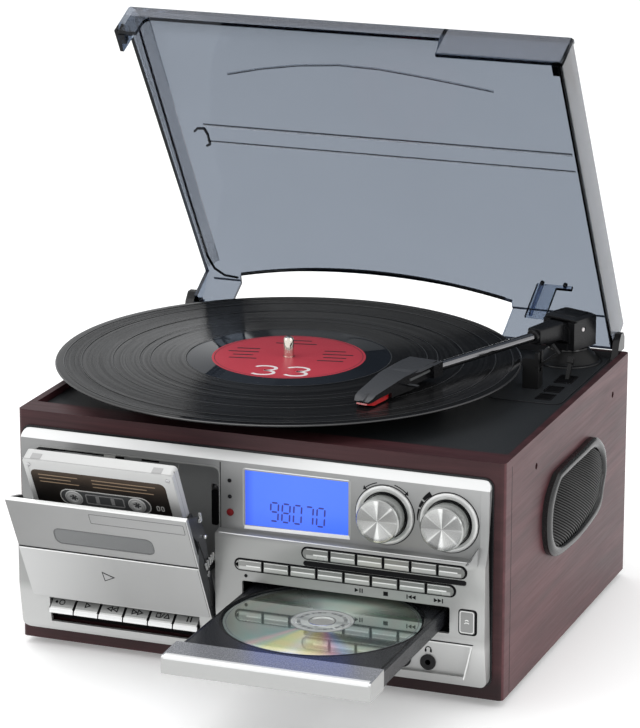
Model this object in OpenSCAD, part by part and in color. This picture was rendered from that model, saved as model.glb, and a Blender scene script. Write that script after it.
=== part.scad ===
// Stereo music centre: veneered cabinet with turntable, cassette deck,
// disc tray, tuner display, knobs and push buttons.
// Every module below is drawn from the cabinet's front left lower corner
// (X right, Y back, Z up); at() then puts the origin at the centre of the
// cabinet's underside. The feet reach below it.

/* [Cabinet] */
// Width of the wooden cabinet
cab_w = 322; // [322:1:322]
// Depth of the wooden cabinet
cab_d = 262; // [262:1:262]
// Height of the wooden cabinet
cab_h = 151.3; // [151:0.1:152]
// Board thickness
board_t = 9; // [8:0.5:10]
// Height of the four feet
foot_h = 5; // [4:0.5:12]
// Radius of each foot
foot_r = 11; // [8:0.5:14]

/* [Turntable] */
// Spindle axis, distance from the cabinet's left side
spin_x = 131; // [130:0.5:132]
// Spindle axis, distance from the wooden front
spin_y = 131.5; // [130:0.5:132]
// Radius of the platter
platter_r = 100; // [90:1:104]
// Radius of the gramophone record
record_r = 151; // [125:1:151]
// Top of the record above the cabinet's underside
record_z = 163.3; // [163:0.1:164]
// Radius of the spindle
spindle_r = 3.6; // [3.5:0.05:3.65]

/* [Tonearm] */
// Vertical pivot, distance from the left side
arm_x = 286; // [284:0.5:287]
// Vertical pivot, distance from the front
arm_y = 242; // [240:0.5:243]
// Height of the arm tube's axis
arm_z = 171; // [170.5:0.1:171.5]
// Swing of the tube from straight forward, as it stands
arm_a = 21.5; // [18:0.5:24]
// Length from the pivot to the headshell
arm_len = 137; // [130:1:140]

/* [Dust cover] */
// Opening angle as it stands
lid_open = 59; // [50:1:70]
// Height of the cover's top over the cabinet's underside
lid_top = 187; // [186:0.5:190]
// Wall thickness of the clear cover
lid_t = 2.5; // [2:0.1:3]

/* [Cassette deck] */
// Angle of the open door
door_open = 27; // [20:1:27]
// Width of the door
door_w = 122; // [120:0.5:122]
// How far the cassette stands up out of its seat while the door is open
tape_up = 25.8; // [20:0.2:25.8]

/* [Disc tray] */
// How far the tray is out
tray_out = 131; // [131:1:131]
// Radius of the disc
disc_r = 60; // [40:1:60]

/* [Controls] */
// Radius of the two knobs
knob_r = 13.8; // [12:0.1:14]
// How far the knobs stand out from the panel
knob_l = 14; // [10:0.5:18]
// Number of function buttons
n_func = 6; // [6:1:6]
// Number of transport buttons
n_trans = 8; // [8:1:8]
// Number of cassette keys
n_keys = 6; // [6:1:6]
// How far the push buttons stand out
btn_out = 0.9; // [0.6:0.1:1.2]

/* [Hidden] */
$fn = 48;

// door hinge line
door_py = -7; door_pz = 34;
// cover hinge line
lid_py = 262.5; lid_pz = 157;
// key axle
key_py = 24; key_pz = 26.5;
// knob axes
tune_x = 247.4; vol_x = 288.4; knob_z = 112.2;
// disc centre
disc_x = 222.5; disc_y = -46; disc_z = 54;
// motor pulley
pul_d = 88; ring_r = 80; pulley_r = 3;
pul_x = spin_x - pul_d*cos(45); pul_y = spin_y + pul_d*sin(45);
// damper gearing: 68 teeth to the circle on the door, 10 on the pinion
sec_r = 34; pin_r = 5; pin_a = 24;
pin_y = door_py + (sec_r+pin_r+0.1)*sin(pin_a);
pin_z = door_pz + (sec_r+pin_r+0.1)*cos(pin_a);
// cassette seat when the door is closed, and its hubs
tape_x = 25.3; tape_z0 = 53.5; hub_z = tape_z0 + 34.5;
// front face of the lower panel, and of the upper panel
face_lo = -12; face_up = -5;

module at() translate([-cab_w/2, -cab_d/2, 0]) children();
// box from one corner to the other
module span(a, b) translate(a) cube(b - a);
// rounded rectangle about the origin, with true arcs
module rrect(w, h, r) {
  square([w - 2*r, h], center = true);
  square([w, h - 2*r], center = true);
  for (i = [-1, 1], j = [-1, 1])
    translate([i*(w/2 - r), j*(h/2 - r)]) circle(r);
}
// front-view shape x0..x1, z0..z1 with rounded corners, from y0 to y1
module plate_y(x0, x1, z0, z1, y0, y1, r)
  translate([(x0+x1)/2, y1, (z0+z1)/2]) rotate([90, 0, 0])
    linear_extrude(y1 - y0) rrect(x1 - x0, z1 - z0, r);
// side-view outline (y, z) from x0 to x1
module prism_x(x0, x1, pts)
  translate([x0, 0, 0]) rotate([90, 0, 90]) linear_extrude(x1 - x0) polygon(pts);
// front-view outline (x, z) from y0 to y1
module prism_y(y0, y1, pts)
  translate([0, y1, 0]) rotate([90, 0, 0]) linear_extrude(y1 - y0) polygon(pts);
module cyl_x(x0, x1, y, z, r)
  translate([x0, y, z]) rotate([0, 90, 0]) cylinder(h = x1 - x0, r = r);
module cyl_y(y0, y1, x, z, r)
  translate([x, y1, z]) rotate([90, 0, 0]) cylinder(h = y1 - y0, r = r);
module cyl_z(z0, z1, x, y, r)
  translate([x, y, z0]) cylinder(h = z1 - z0, r = r);

// ---------------------------------------------------------------- cabinet
module cabinet() color("#4a2128") at() difference() {
  translate([cab_w/2, cab_d/2, 0]) linear_extrude(cab_h) rrect(cab_w, cab_d, 3);
  // room inside
  span([board_t, board_t, board_t], [cab_w-board_t, cab_d-9, 136]);
  span([board_t, 19, board_t], [cab_w-board_t, cab_d-9, 142]);
  // rebate for the deck plate
  span([4.7, 18.9, 141], [cab_w-4.7, 257.3, cab_h+1]);
  // opening behind the front panel
  span([11.6, -1, 15.5], [cab_w-13, board_t+1, 136]);
  // rear opening and its rebate
  span([12, 256, 12], [cab_w-12, cab_d+1, 138]);
  span([18, 250, 18], [cab_w-18, cab_d+1, 134]);
  // speaker openings
  for (x = [-1, cab_w-board_t-1]) cyl_x(x, x+board_t+2, 145, 88, 27);
  // screw holes in the sides
  for (x = [-1, cab_w-board_t-1], y = [61, 225])
    cyl_x(x, x+board_t+2, y, 132, 2.1);
  // screw holes in the floor
  for (x = [24, cab_w-24], y = [24, cab_d-24]) {
    cyl_z(-1, board_t+1, x, y, 1.7);
    // shallow seat of the foot
    cyl_z(-1, 0.5, x, y, foot_r+0.1);
  }
  // pilot holes of the rear screws
  for (x = [15, cab_w-15], z = [26, 124]) cyl_y(250, 258, x, z, 1.35);
}

module feet() color("#1b1b1c") at()
  for (x = [24, cab_w-24], y = [24, cab_d-24]) difference() {
    translate([x, y, -foot_h]) rotate_extrude()
      polygon([[0, 0], [foot_r-1.2, 0], [foot_r-0.4, 0.8], [foot_r, foot_h-0.5],
               [foot_r, foot_h+0.5], [0, foot_h+0.5]]);
    // counterbore for the foot screw
    cyl_z(-foot_h-1, -2.2, x, y, 4);
    cyl_z(-3, 2, x, y, 1.7);
  }

// foot screws, side screws, rear panel screws
module screws() color("#2a2a2d") at() {
  for (x = [24, cab_w-24], y = [24, cab_d-24]) {
    cyl_z(-4.2, -2.2, x, y, 3.4);
    cyl_z(-2.3, 8, x, y, 1.65);
  }
  for (y = [61, 225]) {
    cyl_x(2.6, 10.5, y, 132, 2.05);
    cyl_x(cab_w-10.5, cab_w-2.6, y, 132, 2.05);
  }
  for (x = [15, cab_w-15], z = [26, 124]) {
    cyl_y(259.2, 260.8, x, z, 2.6);
    cyl_y(251, 259.3, x, z, 1.3);
  }
}

module rear_panel() color("#26221f") at() difference() {
  span([12.4, 256.2, 12.4], [cab_w-12.4, 259.2, 137.6]);
  for (x = [15, cab_w-15], z = [26, 124]) cyl_y(250, 262, x, z, 1.4);
  // sockets: supply inlet, two line outputs, aerial
  cyl_y(250, 262, 46, 30, 5.05);
  for (x = [80, 96]) cyl_y(250, 262, x, 30, 5.05);
  cyl_y(250, 262, 270, 100, 2.05);
  // ventilation slots
  for (i = [0:9]) plate_y(120+i*12, 124+i*12, 84, 120, 250, 262, 1.9);
}

module deck_plate() color("#1c1e20") at() {
  deck_body();
  // pin of the cue lever across its slot
  cyl_x(295.8, 301.6, 197, 143.4, 0.95);
}
module deck_body() difference() {
  union() {
    span([5, 19.2, 141], [cab_w-5, 257, 147]);
    // bearing boss below the platter
    cyl_z(118, 142, spin_x, spin_y, 9);
    // arm bearing boss
    cyl_z(126, 142, arm_x, arm_y, 9);
  }
  // shallow well below the platter
  cyl_z(145, 148, spin_x, spin_y, platter_r+5);
  // shallow circular seat round the tonearm and the switch tray
  difference() {
    cyl_z(145.6, 148, arm_x, arm_y-4, 25);
    cyl_z(140, 146.8, arm_x, arm_y, 22.4);
  }
  span([289.5, 145, 144], [306.5, 214, 148]);
  // switch slots
  span([296.5, 151, 140], [299.5, 165, 148]);
  span([296.5, 169, 140], [299.5, 183, 148]);
  span([296.2, 186, 140], [301.2, 208, 148]);
  // shafts
  cyl_z(110, 150, spin_x, spin_y, spindle_r);
  cyl_z(120, 150, arm_x, arm_y, 5.05);
  cyl_z(130, 150, pul_x, pul_y, 5);
}

// ------------------------------------------------------------ front panel
outer_pts = [[0, 9.5], [-6.3, 9.5], [-7.6, 11.2], [-12, 40], [-12, 88.2],
  [-11.2, 89.6], [-5, 91], [-5, 134.7], [-0.6, 140.2], [0, 140.4]];
inner_pts = [[1, 12], [-5.2, 12], [-9.5, 40.2], [-9.5, 87.3], [-2.5, 88.8],
  [-2.5, 133.7], [1, 138.0]];
// right-hand border, where the lower face runs up in a wedge
wedge_pts = [[-3, 80], [-12, 80], [-12, 88.2], [-6.2, 101], [-5.2, 134.6],
  [-3, 134.6]];

module panel_body() {
  difference() {
    intersection() {
      union() {
        prism_x(4, 314, outer_pts);
        prism_x(308.6, 314, wedge_pts);
        // slanted foot of the wedge
        prism_y(-12, -4, [[302.5, 87.5], [309, 87.5], [309, 99.5]]);
      }
      plate_y(4, 314, 9.5, 140.4, -14, 1, 5);
    }
    prism_x(6.5, 311.5, inner_pts);
  }
  // socket tray in the lower right corner
  intersection() {
    prism_x(4, 314, outer_pts);
    span([238, -12, 11], [311.6, -2.6, 40.5]);
  }
  // hinge pins and their bosses
  for (s = [0, 1]) {
    x0 = s == 0 ? 10.5 : 138.5;
    span([x0, -9.8, 29.5], [x0+3.4, -3, 38]);
    cyl_x(s == 0 ? 12 : 134.6, s == 0 ? 16.4 : 140.4, door_py, door_pz, 1.5);
  }
  // guide tubes of the knob shafts
  for (x = [tune_x, vol_x]) cyl_y(-3, -0.6, x, knob_z, 5);
}

module front_panel() color("#b9bcbe") at() difference() {
  panel_body();
  // opening of the cassette well (right through the front wall only)
  plate_y(13.9, 138.5, 33.2, 129.4, -15, -2.4, 4);
  plate_y(13.9, 138.5, 33.2, 60, -15, -2.4, 0.8);
  // opening for the keys
  span([24.3, -15, 15.7], [127, -2, 32.6]);
  // display window
  plate_y(154.8, 224.8, 94.2, 131.2, -8, 1, 1.5);
  // knob seats and shaft bores
  for (x = [tune_x, vol_x]) {
    cyl_y(-7, -3.8, x, knob_z, 14.3);
    cyl_y(-8, 1, x, knob_z, 3.05);
  }
  // function row, transport row, tray slot, eject button
  plate_y(196.4, 301.9, 80.1, 87.9, -15, -2, 3.8);
  plate_y(152.2, 295, 67.9, 75.1, -15, -2, 3.5);
  plate_y(156.5, 291.7, 44, 61, -15, 1, 1.2);
  plate_y(297.7, 308.3, 45.3, 60.7, -15, -2, 2);
  // printed band, set in
  plate_y(197.2, 302, 75.9, 79.1, -15, -11.7, 1.5);
  // socket recess, trapezoid
  prism_y(-15, -5.4, [[243, 15.2], [300.4, 15.6], [305.4, 36.9], [239.5, 36.9]]);
  cyl_y(-15, 1, 260, 21.4, 4.05);
  cyl_y(-15, 1, 276, 21.4, 4.05);
  // indicator holes
  cyl_y(-8, 1, 145.7, 122.2, 1.0);
  cyl_y(-8, 1, 145.8, 111.9, 1.0);
  cyl_y(-8, 1, 146.0, 101.8, 1.9);
}

module display_module() color("#2f62f0") at() {
  // lens and glass cell in its white frame, one block
  difference() {
    plate_y(155.1, 224.5, 94.5, 130.9, -4.6, 3.4, 1.3);
    plate_y(156.4, 223.4, 95.9, 129.8, -6, -3.6, 0.8);
  }
  // lamps beside it
  cyl_y(-5.4, 0, 145.7, 122.2, 0.9);
  cyl_y(-5.4, 0, 145.8, 111.9, 0.9);
  cyl_y(-5.6, 0, 146.0, 101.8, 1.8);
}

module knob_rings() color("#e4e6e8") at()
  for (x = [tune_x, vol_x]) translate([x, -5, knob_z]) rotate([90, 0, 0])
    rotate_extrude() polygon([[14.4, 0], [18.3, 0], [18.3, 1.3], [17.7, 1.9],
      [16.9, 1.7], [15.6, 0.9], [14.9, 0.8], [14.4, 1.0]]);

module knob(x) translate([x, -5.3, knob_z]) rotate([90, 0, 0]) {
  difference() {
    rotate_extrude() polygon([[0, 0], [knob_r-0.5, 0], [knob_r, 0.5],
      [knob_r, knob_l-0.8], [knob_r-0.7, knob_l-0.1], [knob_r-1.4, knob_l],
      [0, knob_l-0.5]]);
  }
  translate([0, 0, -11.2]) cylinder(h = 11.6, r = 3);
}
module tuning_knob() color("#c4c7c9") at() knob(tune_x);
module volume_knob() color("#c4c7c9") at() knob(vol_x);

// boards behind the panel and in the cabinet, with their switches
module circuit_boards() color("#1e5c38") at() {
  difference() {
    union() {
      span([143, 0.8, 64], [307.5, 2.4, 134]);
      span([297, 0.8, 47], [307.5, 2.4, 64.5]);
    }
    plate_y(153, 226.5, 92.5, 133, 0, 3.2, 1);
    for (x = [tune_x, vol_x]) cyl_y(0, 3, x, knob_z, 3.5);
  }
  for (x = [tune_x, vol_x]) difference() {
    span([x-7, 2.4, knob_z-7], [x+7, 9, knob_z+7]);
    cyl_y(2, 8, x, knob_z, 3.5);
  }
  for (i = [0:n_func-1]) span([202+i*17.37, -2.6, 81], [208.5+i*17.37, 0.8, 87]);
  for (i = [0:n_trans-1]) span([158+i*17.75, -2.6, 68.5], [164.5+i*17.75, 0.8, 74.5]);
  span([299.7, -2.6, 50], [306.3, 0.8, 56]);
  // main board on the floor at the back
  span([24, 186, 13], [300, 250, 14.6]);
  span([40, 200, 14.6], [90, 206, 40]);
  for (i = [0:3]) cyl_z(14.6, 34, 120+i*18, 226, 6.5);
  span([210, 196, 14.6], [236, 222, 18]);
  for (x = [40, 290], y = [192, 244]) cyl_z(9, 13.1, x, y, 3);
}

// push button of a row: a slice of the row's rounded bar, with its stem
module row_button(x0, x1, z0, z1, i, n, f) {
  w = (x1 - x0)/n;
  a = x0 + i*w + (i == 0 ? 0 : 0.35);
  b = x0 + (i+1)*w - (i == n-1 ? 0 : 0.35);
  intersection() {
    plate_y(x0, x1, z0, z1, f-btn_out, f+3.2, (z1-z0)/2 - 0.01);
    span([a, f-5, z0-1], [b, f+5, z1+1]);
  }
  cyl_y(f+3, -4, (a+b)/2, (z0+z1)/2, 1.6);
}
module func_button(i) color("#c6c9cb") at()
  row_button(196.9, 301.4, 80.6, 87.4, i, n_func, face_lo);
module trans_button(i) color("#c6c9cb") at()
  row_button(152.7, 294.5, 68.3, 74.7, i, n_trans, face_lo);
module eject_button() color("#c6c9cb") at() {
  plate_y(298.1, 307.9, 45.7, 60.3, face_lo-btn_out, face_lo+3.4, 1.6);
  cyl_y(face_lo+3, -4, 303, 53, 1.8);
}

module sockets() color("#202123") at() {
  // line input and headphone socket, 3.5 mm
  for (x = [260, 276]) difference() {
    union() {
      cyl_y(-6.4, 10, x, 21.4, 4);
      cyl_y(-6.4, -5.5, x, 21.4, 5);
    }
    cyl_y(-8, 8, x, 21.4, 1.75);
  }
  // supply inlet
  difference() {
    cyl_y(244, 260.4, 46, 30, 5);
    cyl_y(250, 262, 46, 30, 2.75);
  }
  // line outputs
  for (x = [80, 96]) difference() {
    union() {
      cyl_y(250, 260.2, x, 30, 5);
      cyl_y(260, 268, x, 30, 4.15);
    }
    cyl_y(256, 270, x, 30, 1.6);
  }
  // aerial lead-out
  cyl_y(252, 260.4, 270, 100, 2);
}

// ---------------------------------------------------------------- speakers
grille_pts = [[101, 110], [172, 112], [197, 96.5], [195, 70], [187, 63.5],
  [106, 62.5], [90, 73]];
function mid(p) = [for (q = p) [q[0] + (145 - q[0])*0.07, q[1] + (88 - q[1])*0.15]];
module grille(x0) {
  // rim, hollow behind the mesh
  difference() {
    prism_x(x0, x0+7, [for (q = grille_pts) [q[0] + (q[0]-145)*0.05, q[1] + (q[1]-88)*0.1]]);
    prism_x(x0-1, x0+8, mid(grille_pts));
  }
  // mesh plate with its slots
  difference() {
    prism_x(x0+4, x0+5.6, grille_pts);
    for (i = [0:8]) span([x0, 98+i*10, 70], [x0+8, 102+i*10, 104]);
  }
}
module speaker_grilles() color("#1d1e20") at() {
  translate([cab_w, 0, 0]) grille(0);
  mirror([1, 0, 0]) grille(0);
}
module driver(x0) translate([x0, 145, 88]) rotate([0, -90, 0]) {
  // frame and cone in one solid, magnet behind
  difference() {
    rotate_extrude() polygon([[0, 9], [11, 11], [12, 17], [24, 7.5], [26.4, 7.5], [26.4, 9.2],
      [32, 9.2], [32, 11.2], [27, 11.4], [18, 20], [17, 30], [0, 30]]);
  }
}
module speaker_drivers() color("#33312e") at() {
  translate([cab_w, 0, 0]) driver(0);
  mirror([1, 0, 0]) driver(0);
}

// --------------------------------------------------------------- turntable
module turntable_motor() color("#8f9398") at() difference() {
  motor_body();
  // bearing of the shaft
  cyl_z(122, 150, pul_x, pul_y, 1.05);
}
module motor_body() {
  cyl_z(114, 137, pul_x, pul_y, 17);
  cyl_z(136.9, 140.9, pul_x, pul_y, 4.6);
  // rubber-mounted straps up to the deck
  for (a = [0, 120, 240]) translate([pul_x, pul_y, 0]) rotate([0, 0, a])
    span([12, -3, 134], [24, 3, 136.8]);
  for (a = [0, 120, 240]) translate([pul_x, pul_y, 0]) rotate([0, 0, a])
    cyl_z(134, 141, 22, 0, 2.2);
}
// pulley with its shaft
module motor_pulley() color("#c9a75a") at()
  translate([pul_x, pul_y, 0]) rotate_extrude() polygon([[0, 124], [1, 124], [1, 148],
    [4.2, 148], [4.2, 149.6], [pulley_r, 150.4], [pulley_r, 155.6], [4.2, 156.2],
    [4.2, 156.6], [0, 156.6]]);
// belt round the platter's drive ring and the pulley
belt_g = 0.08; belt_t = 0.9;
belt_f = acos((ring_r - pulley_r)/pul_d);
belt_l = sqrt(pul_d*pul_d - (ring_r - pulley_r)*(ring_r - pulley_r));
module drive_belt() color("#141414") at()
  translate([spin_x, spin_y, 151.2]) rotate([0, 0, 135]) {
    // round the drive ring, round the pulley, and the two free runs
    rotate([0, 0, belt_f]) rotate_extrude(angle = 360 - 2*belt_f, $fn = 180)
      translate([ring_r + belt_g, 0]) square([belt_t, 3.6]);
    translate([pul_d, 0, 0]) rotate([0, 0, -belt_f])
      rotate_extrude(angle = 2*belt_f, $fn = 36)
        translate([pulley_r + belt_g, 0]) square([belt_t, 3.6]);
    for (k = [-1, 1]) rotate([0, 0, k*belt_f])
      translate([ring_r + belt_g + 0.05, k > 0 ? -belt_l-0.45 : -1.8, 0.05])
        cube([belt_t - 0.1, belt_l + 2.25, 3.5]);
  }

module platter() color("#232527") at() translate([spin_x, spin_y, 0]) difference() {
  rotate_extrude($fn = 180) polygon([
    [0, 149], [11, 149], [11, 157], [ring_r-3, 157], [ring_r-3, 150.6],
    [ring_r, 150.6], [ring_r, 156.8], [95.5, 156.8], [95.5, 150.6], [platter_r-1, 150.6],
    [platter_r, 151.6], [platter_r, 160], [platter_r-1.2, 161.5], [0, 161.5]]);
  cylinder(h = 200, r = spindle_r + 0.05);
}
module record() color("#101113") at() translate([spin_x, spin_y, record_z-1.8]) difference() {
  rotate_extrude($fn = 200) polygon([[0, 0], [50, 0], [50.5, 0.2], [record_r-5, 0.2],
    [record_r-2, 0], [record_r-0.5, 0.4], [record_r, 0.9], [record_r-0.5, 1.4],
    [record_r-2, 1.8], [record_r-5, 1.6], [50.5, 1.6], [50, 1.8], [0, 1.8]]);
  translate([0, 0, -1]) cylinder(h = 5, r = spindle_r + 0.05);
}
module spindle() color("#dcdfe2") at() translate([spin_x, spin_y, 0])
  rotate_extrude() polygon([[0, 120], [spindle_r, 120], [spindle_r, record_z+0.6],
    [spindle_r-0.3, record_z+0.6], [spindle_r-0.3, 175], [spindle_r-0.9, 176.4],
    [spindle_r-2.2, 177], [0, 177]]);

// ----------------------------------------------------------------- tonearm
module arm_base() color("#1a1b1d") at() {
  difference() {
    translate([arm_x, arm_y, 0]) rotate_extrude() polygon([[5.05, 146.8],
      [22, 146.8], [22, 148], [20.5, 148.6], [12.5, 157.6], [5.05, 157.6]]);
    // cleared for the cabinet's rear rim
    span([260, 257, 146], [312, 266, 151.6]);
  }
  // arm rest: post with a fork, standing on the deck
  difference() {
    union() {
      span([277.6, 169, 147], [288.2, 179, 167.4]);
      span([285.8, 169, 167.3], [288.2, 179, 171.5]);
    }
    // fork slot for the clip, and its bore
    span([284.6, 172, 158], [289, 176, 172]);
    cyl_y(168, 180, 286.9, 161.5, 0.9);
  }
}
// the clip that holds the arm down when it is parked
module arm_clip() color("#2a2b2e") at() {
  cyl_y(172.1, 175.9, 286.9, 161.5, 1.35);
  cyl_y(169.4, 178.6, 286.9, 161.5, 0.85);
  translate([286.9, 0, 161.5]) rotate([0, 52, 0]) {
    span([-0.9, 172.1, 0.8], [0.9, 175.9, 17.2]);
    span([-6.6, 172.1, 15.9], [0.9, 175.9, 17.2]);
  }
}
module armed() translate([arm_x, arm_y, 0]) rotate([0, 0, -arm_a]) children();
module arm_yoke() color("#17181a") at() armed() difference() {
  union() {
    // cheeks and top cap; forward is -Y here
    span([-13, -10.5, 158.2], [13, 12.5, 162.4]);
    span([-13, -10.5, 162.3], [-7.6, 12.5, 176.6]);
    span([7.6, -10.5, 162.3], [13, 12.5, 176.6]);
    span([-13, -8, 176.5], [13, 12.5, 178]);
    translate([0, 0, 121]) cylinder(h = 38, r = 5);
    // front chamfered nose
    span([-9, -13, 158.2], [9, -10.4, 162.4]);
  }
  cyl_x(-14, 14, 0, arm_z, 1.5);
}
module arm_tube() color("#c9cccf") at() armed() {
  // rear block with the horizontal axle
  span([-6.8, -14, 164.2], [6.8, 9, 175.6]);
  cyl_x(-12.6, 12.6, 0, arm_z, 1.45);
  // collar and tube
  cyl_y(-36, -13.9, 0, arm_z, 4.6);
  cyl_y(-arm_len-1, -35.9, 0, arm_z, 3.1);
}
// headshell: its own direction, a little straighter than the tube
head_a = 10;
module headed() translate([227.4, 113.5, 0]) rotate([0, 0, -head_a]) children();
module headshell() color("#151618") at() difference() {
  headed() {
    // neck that takes the tube
    span([-3, -5, 166.8], [13, 6.5, 175.2]);
    // tapering body
    prism_head();
    // finger lift
    span([9.2, -34, 168.6], [17, -30.5, 169.6]);
  }
  // bore for the tube
  armed() cyl_y(-arm_len-1.1, -arm_len+30, 0, arm_z, 3.12);
}
module prism_head() difference() {
  intersection() {
    // side outline
    translate([-12, 0, 0]) rotate([90, 0, 90]) linear_extrude(26) polygon([
      [6, 175.8], [-8, 176.2], [-36, 175.2], [-67, 170.6], [-73.6, 167.4],
      [-73.2, 166.4], [-64, 167.6], [-50, 168.4], [-50, 164.9], [-23, 164.9],
      [-22, 167.2], [-8, 167.2], [6, 168]]);
    // plan outline
    translate([0, 0, 150]) linear_extrude(40) polygon([[-9.5, 4], [-9.5, -30],
      [-6.5, -70], [-4.5, -74.5], [4.5, -74.5], [6.5, -70], [10, -30], [10, 4]]);
  }
}
module stylus() color("#c0241f") at() headed() {
  // red stylus carrier with its cantilever and tip
  intersection() {
    translate([-6, 0, 0]) rotate([90, 0, 90]) linear_extrude(12) polygon([
      [-50.1, 168.3], [-64, 167.5], [-72.6, 166.3], [-73, 165.2], [-68, 164.1],
      [-51.5, 164.2], [-50.1, 165.4]]);
    translate([0, 0, 150]) linear_extrude(40) polygon([[-6, -50], [-6, -68],
      [-3.4, -73.4], [3.4, -73.4], [6, -68], [6, -50]]);
  }
  translate([0, -69, 163.45]) cylinder(h = 1, r1 = 0.25, r2 = 0.6, $fn = 16);
}
module cue_lever() color("#131416") at() {
  difference() {
    union() {
      cyl_x(296.8, 300.6, 197, 143.4, 2.5);
      translate([0, 197, 143.4]) rotate([-32, 0, 0]) {
        span([297.4, -1.3, 1.5], [300, 1.3, 17.5]);
        span([296.8, -1.9, 15], [300.6, 1.9, 19.5]);
      }
    }
    cyl_x(296, 302, 197, 143.4, 1.0);
  }
}
module slider(x, y) {
  span([x-1.3, y-2, 141.3], [x+1.3, y+2, 145.5]);
  span([x-3, y-2.6, 144.3], [x+3, y+2.6, 146.2]);
  for (i = [-1, 0, 1]) span([x-3, y-0.3+i*1.7, 146.1], [x+3, y+0.3+i*1.7, 146.8]);
}
module autostop_switch() color("#202124") at() slider(298, 154.5);
module speed_switch() color("#202124") at() slider(298, 172.5);

// upright ear x0..x1 on the deck, with the hinge pin p0..p1
module bracket(x0, x1, p0, p1) {
  prism_x(x0, x1, [[249, 147], [256.8, 147], [256.8, 151.6], [267, 151.6],
    [267.6, 152.4], [267.6, 160], [265, 163.4], [259.5, 163.4], [255, 158], [252.5, 151]]);
  cyl_x(p0, p1, lid_py, lid_pz, 2.0);
}
module hinge_brackets() color("#161719") at() {
  bracket(5.3, 11.5, 11.4, 14.4);
  bracket(312.5, 317, 309.6, 312.6);
}

// -------------------------------------------------------------- dust cover
lid_in = lid_t;
lid_out_pts = [[11.4, 152], [14, 178.6], [18, 180.8], [64, lid_top-0.8], [110, lid_top],
  [232, lid_top], [252, lid_top-2.6], [262, lid_top-6], [266, 180], [266, 153]];
lid_in_pts = [[13.9, 150], [16.6, 177.6], [19, 178.4], [65, lid_top-3.3],
  [110, lid_top-2.5], [231.6, lid_top-2.5], [251, lid_top-5], [261, lid_top-8.4],
  [263.5, 179], [263.5, 150]];
function lid_x(o, d) = [[12+o, 149-d], [12+o, 176], [20+o*0.6, 190-o*1.2],
  [304-o*0.6, 190-o*1.2], [312-o, 176], [312-o, 149-d]];
module lid_shape() difference() {
  intersection() {
    prism_x(12, 312, lid_out_pts);
    prism_y(5, 270, [[12, 149], [12, 177.4], [20.5, 190], [303.5, 190], [312, 177.4], [312, 149]]);
  }
  intersection() {
    prism_x(14.5, 309.5, lid_in_pts);
    prism_y(4, 271, [[14.5, 148], [14.5, 176.6], [21.8, 187.4], [302.2, 187.4], [309.5, 176.6], [309.5, 148]]);
  }
  // front skirt cut back over the record
  prism_y(5, 18, [[27, 140], [27, 165], [30, 168.6], [227.6, 168.6], [230, 156], [230.4, 140]]);
  // left skirt cut back over the record
  prism_x(11, 15, [[28, 140], [31, 169], [254, 177], [254, 140]]);
  // back skirt: arched cut-out over the record
  intersection() {
    cyl_z(140, 195, 135, 698.5, 451);
    span([36, 240, 140], [234, 275, 195]);
  }
  // hinge bores
  cyl_x(10, 16, lid_py, lid_pz, 2.05);
  cyl_x(308, 314, lid_py, lid_pz, 2.05);
}
module dust_cover() color([0.55, 0.6, 0.66, 0.45]) at()
  translate([0, lid_py, lid_pz]) rotate([-lid_open, 0, 0]) translate([0, -lid_py, -lid_pz]) {
    lid_shape();
    // two soft catches at the front corners
    span([14.4, 14.2, 151.4], [18.4, 22, 156]);
    span([305.6, 14.2, 151.4], [309.6, 22, 156]);
    span([13.6, 13, 153], [15, 22, 156]);
    span([309, 13, 153], [310.4, 22, 156]);
  }

// ----------------------------------------------------------- cassette deck
// door pieces are drawn closed, then swung open about the hinge line
module doored() translate([0, door_py, door_pz]) rotate([door_open, 0, 0])
  translate([0, -door_py, -door_pz]) children();
door_f = -12.66; dx0 = 75.5 - door_w/2; dx1 = 75.5 + door_w/2;
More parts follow.
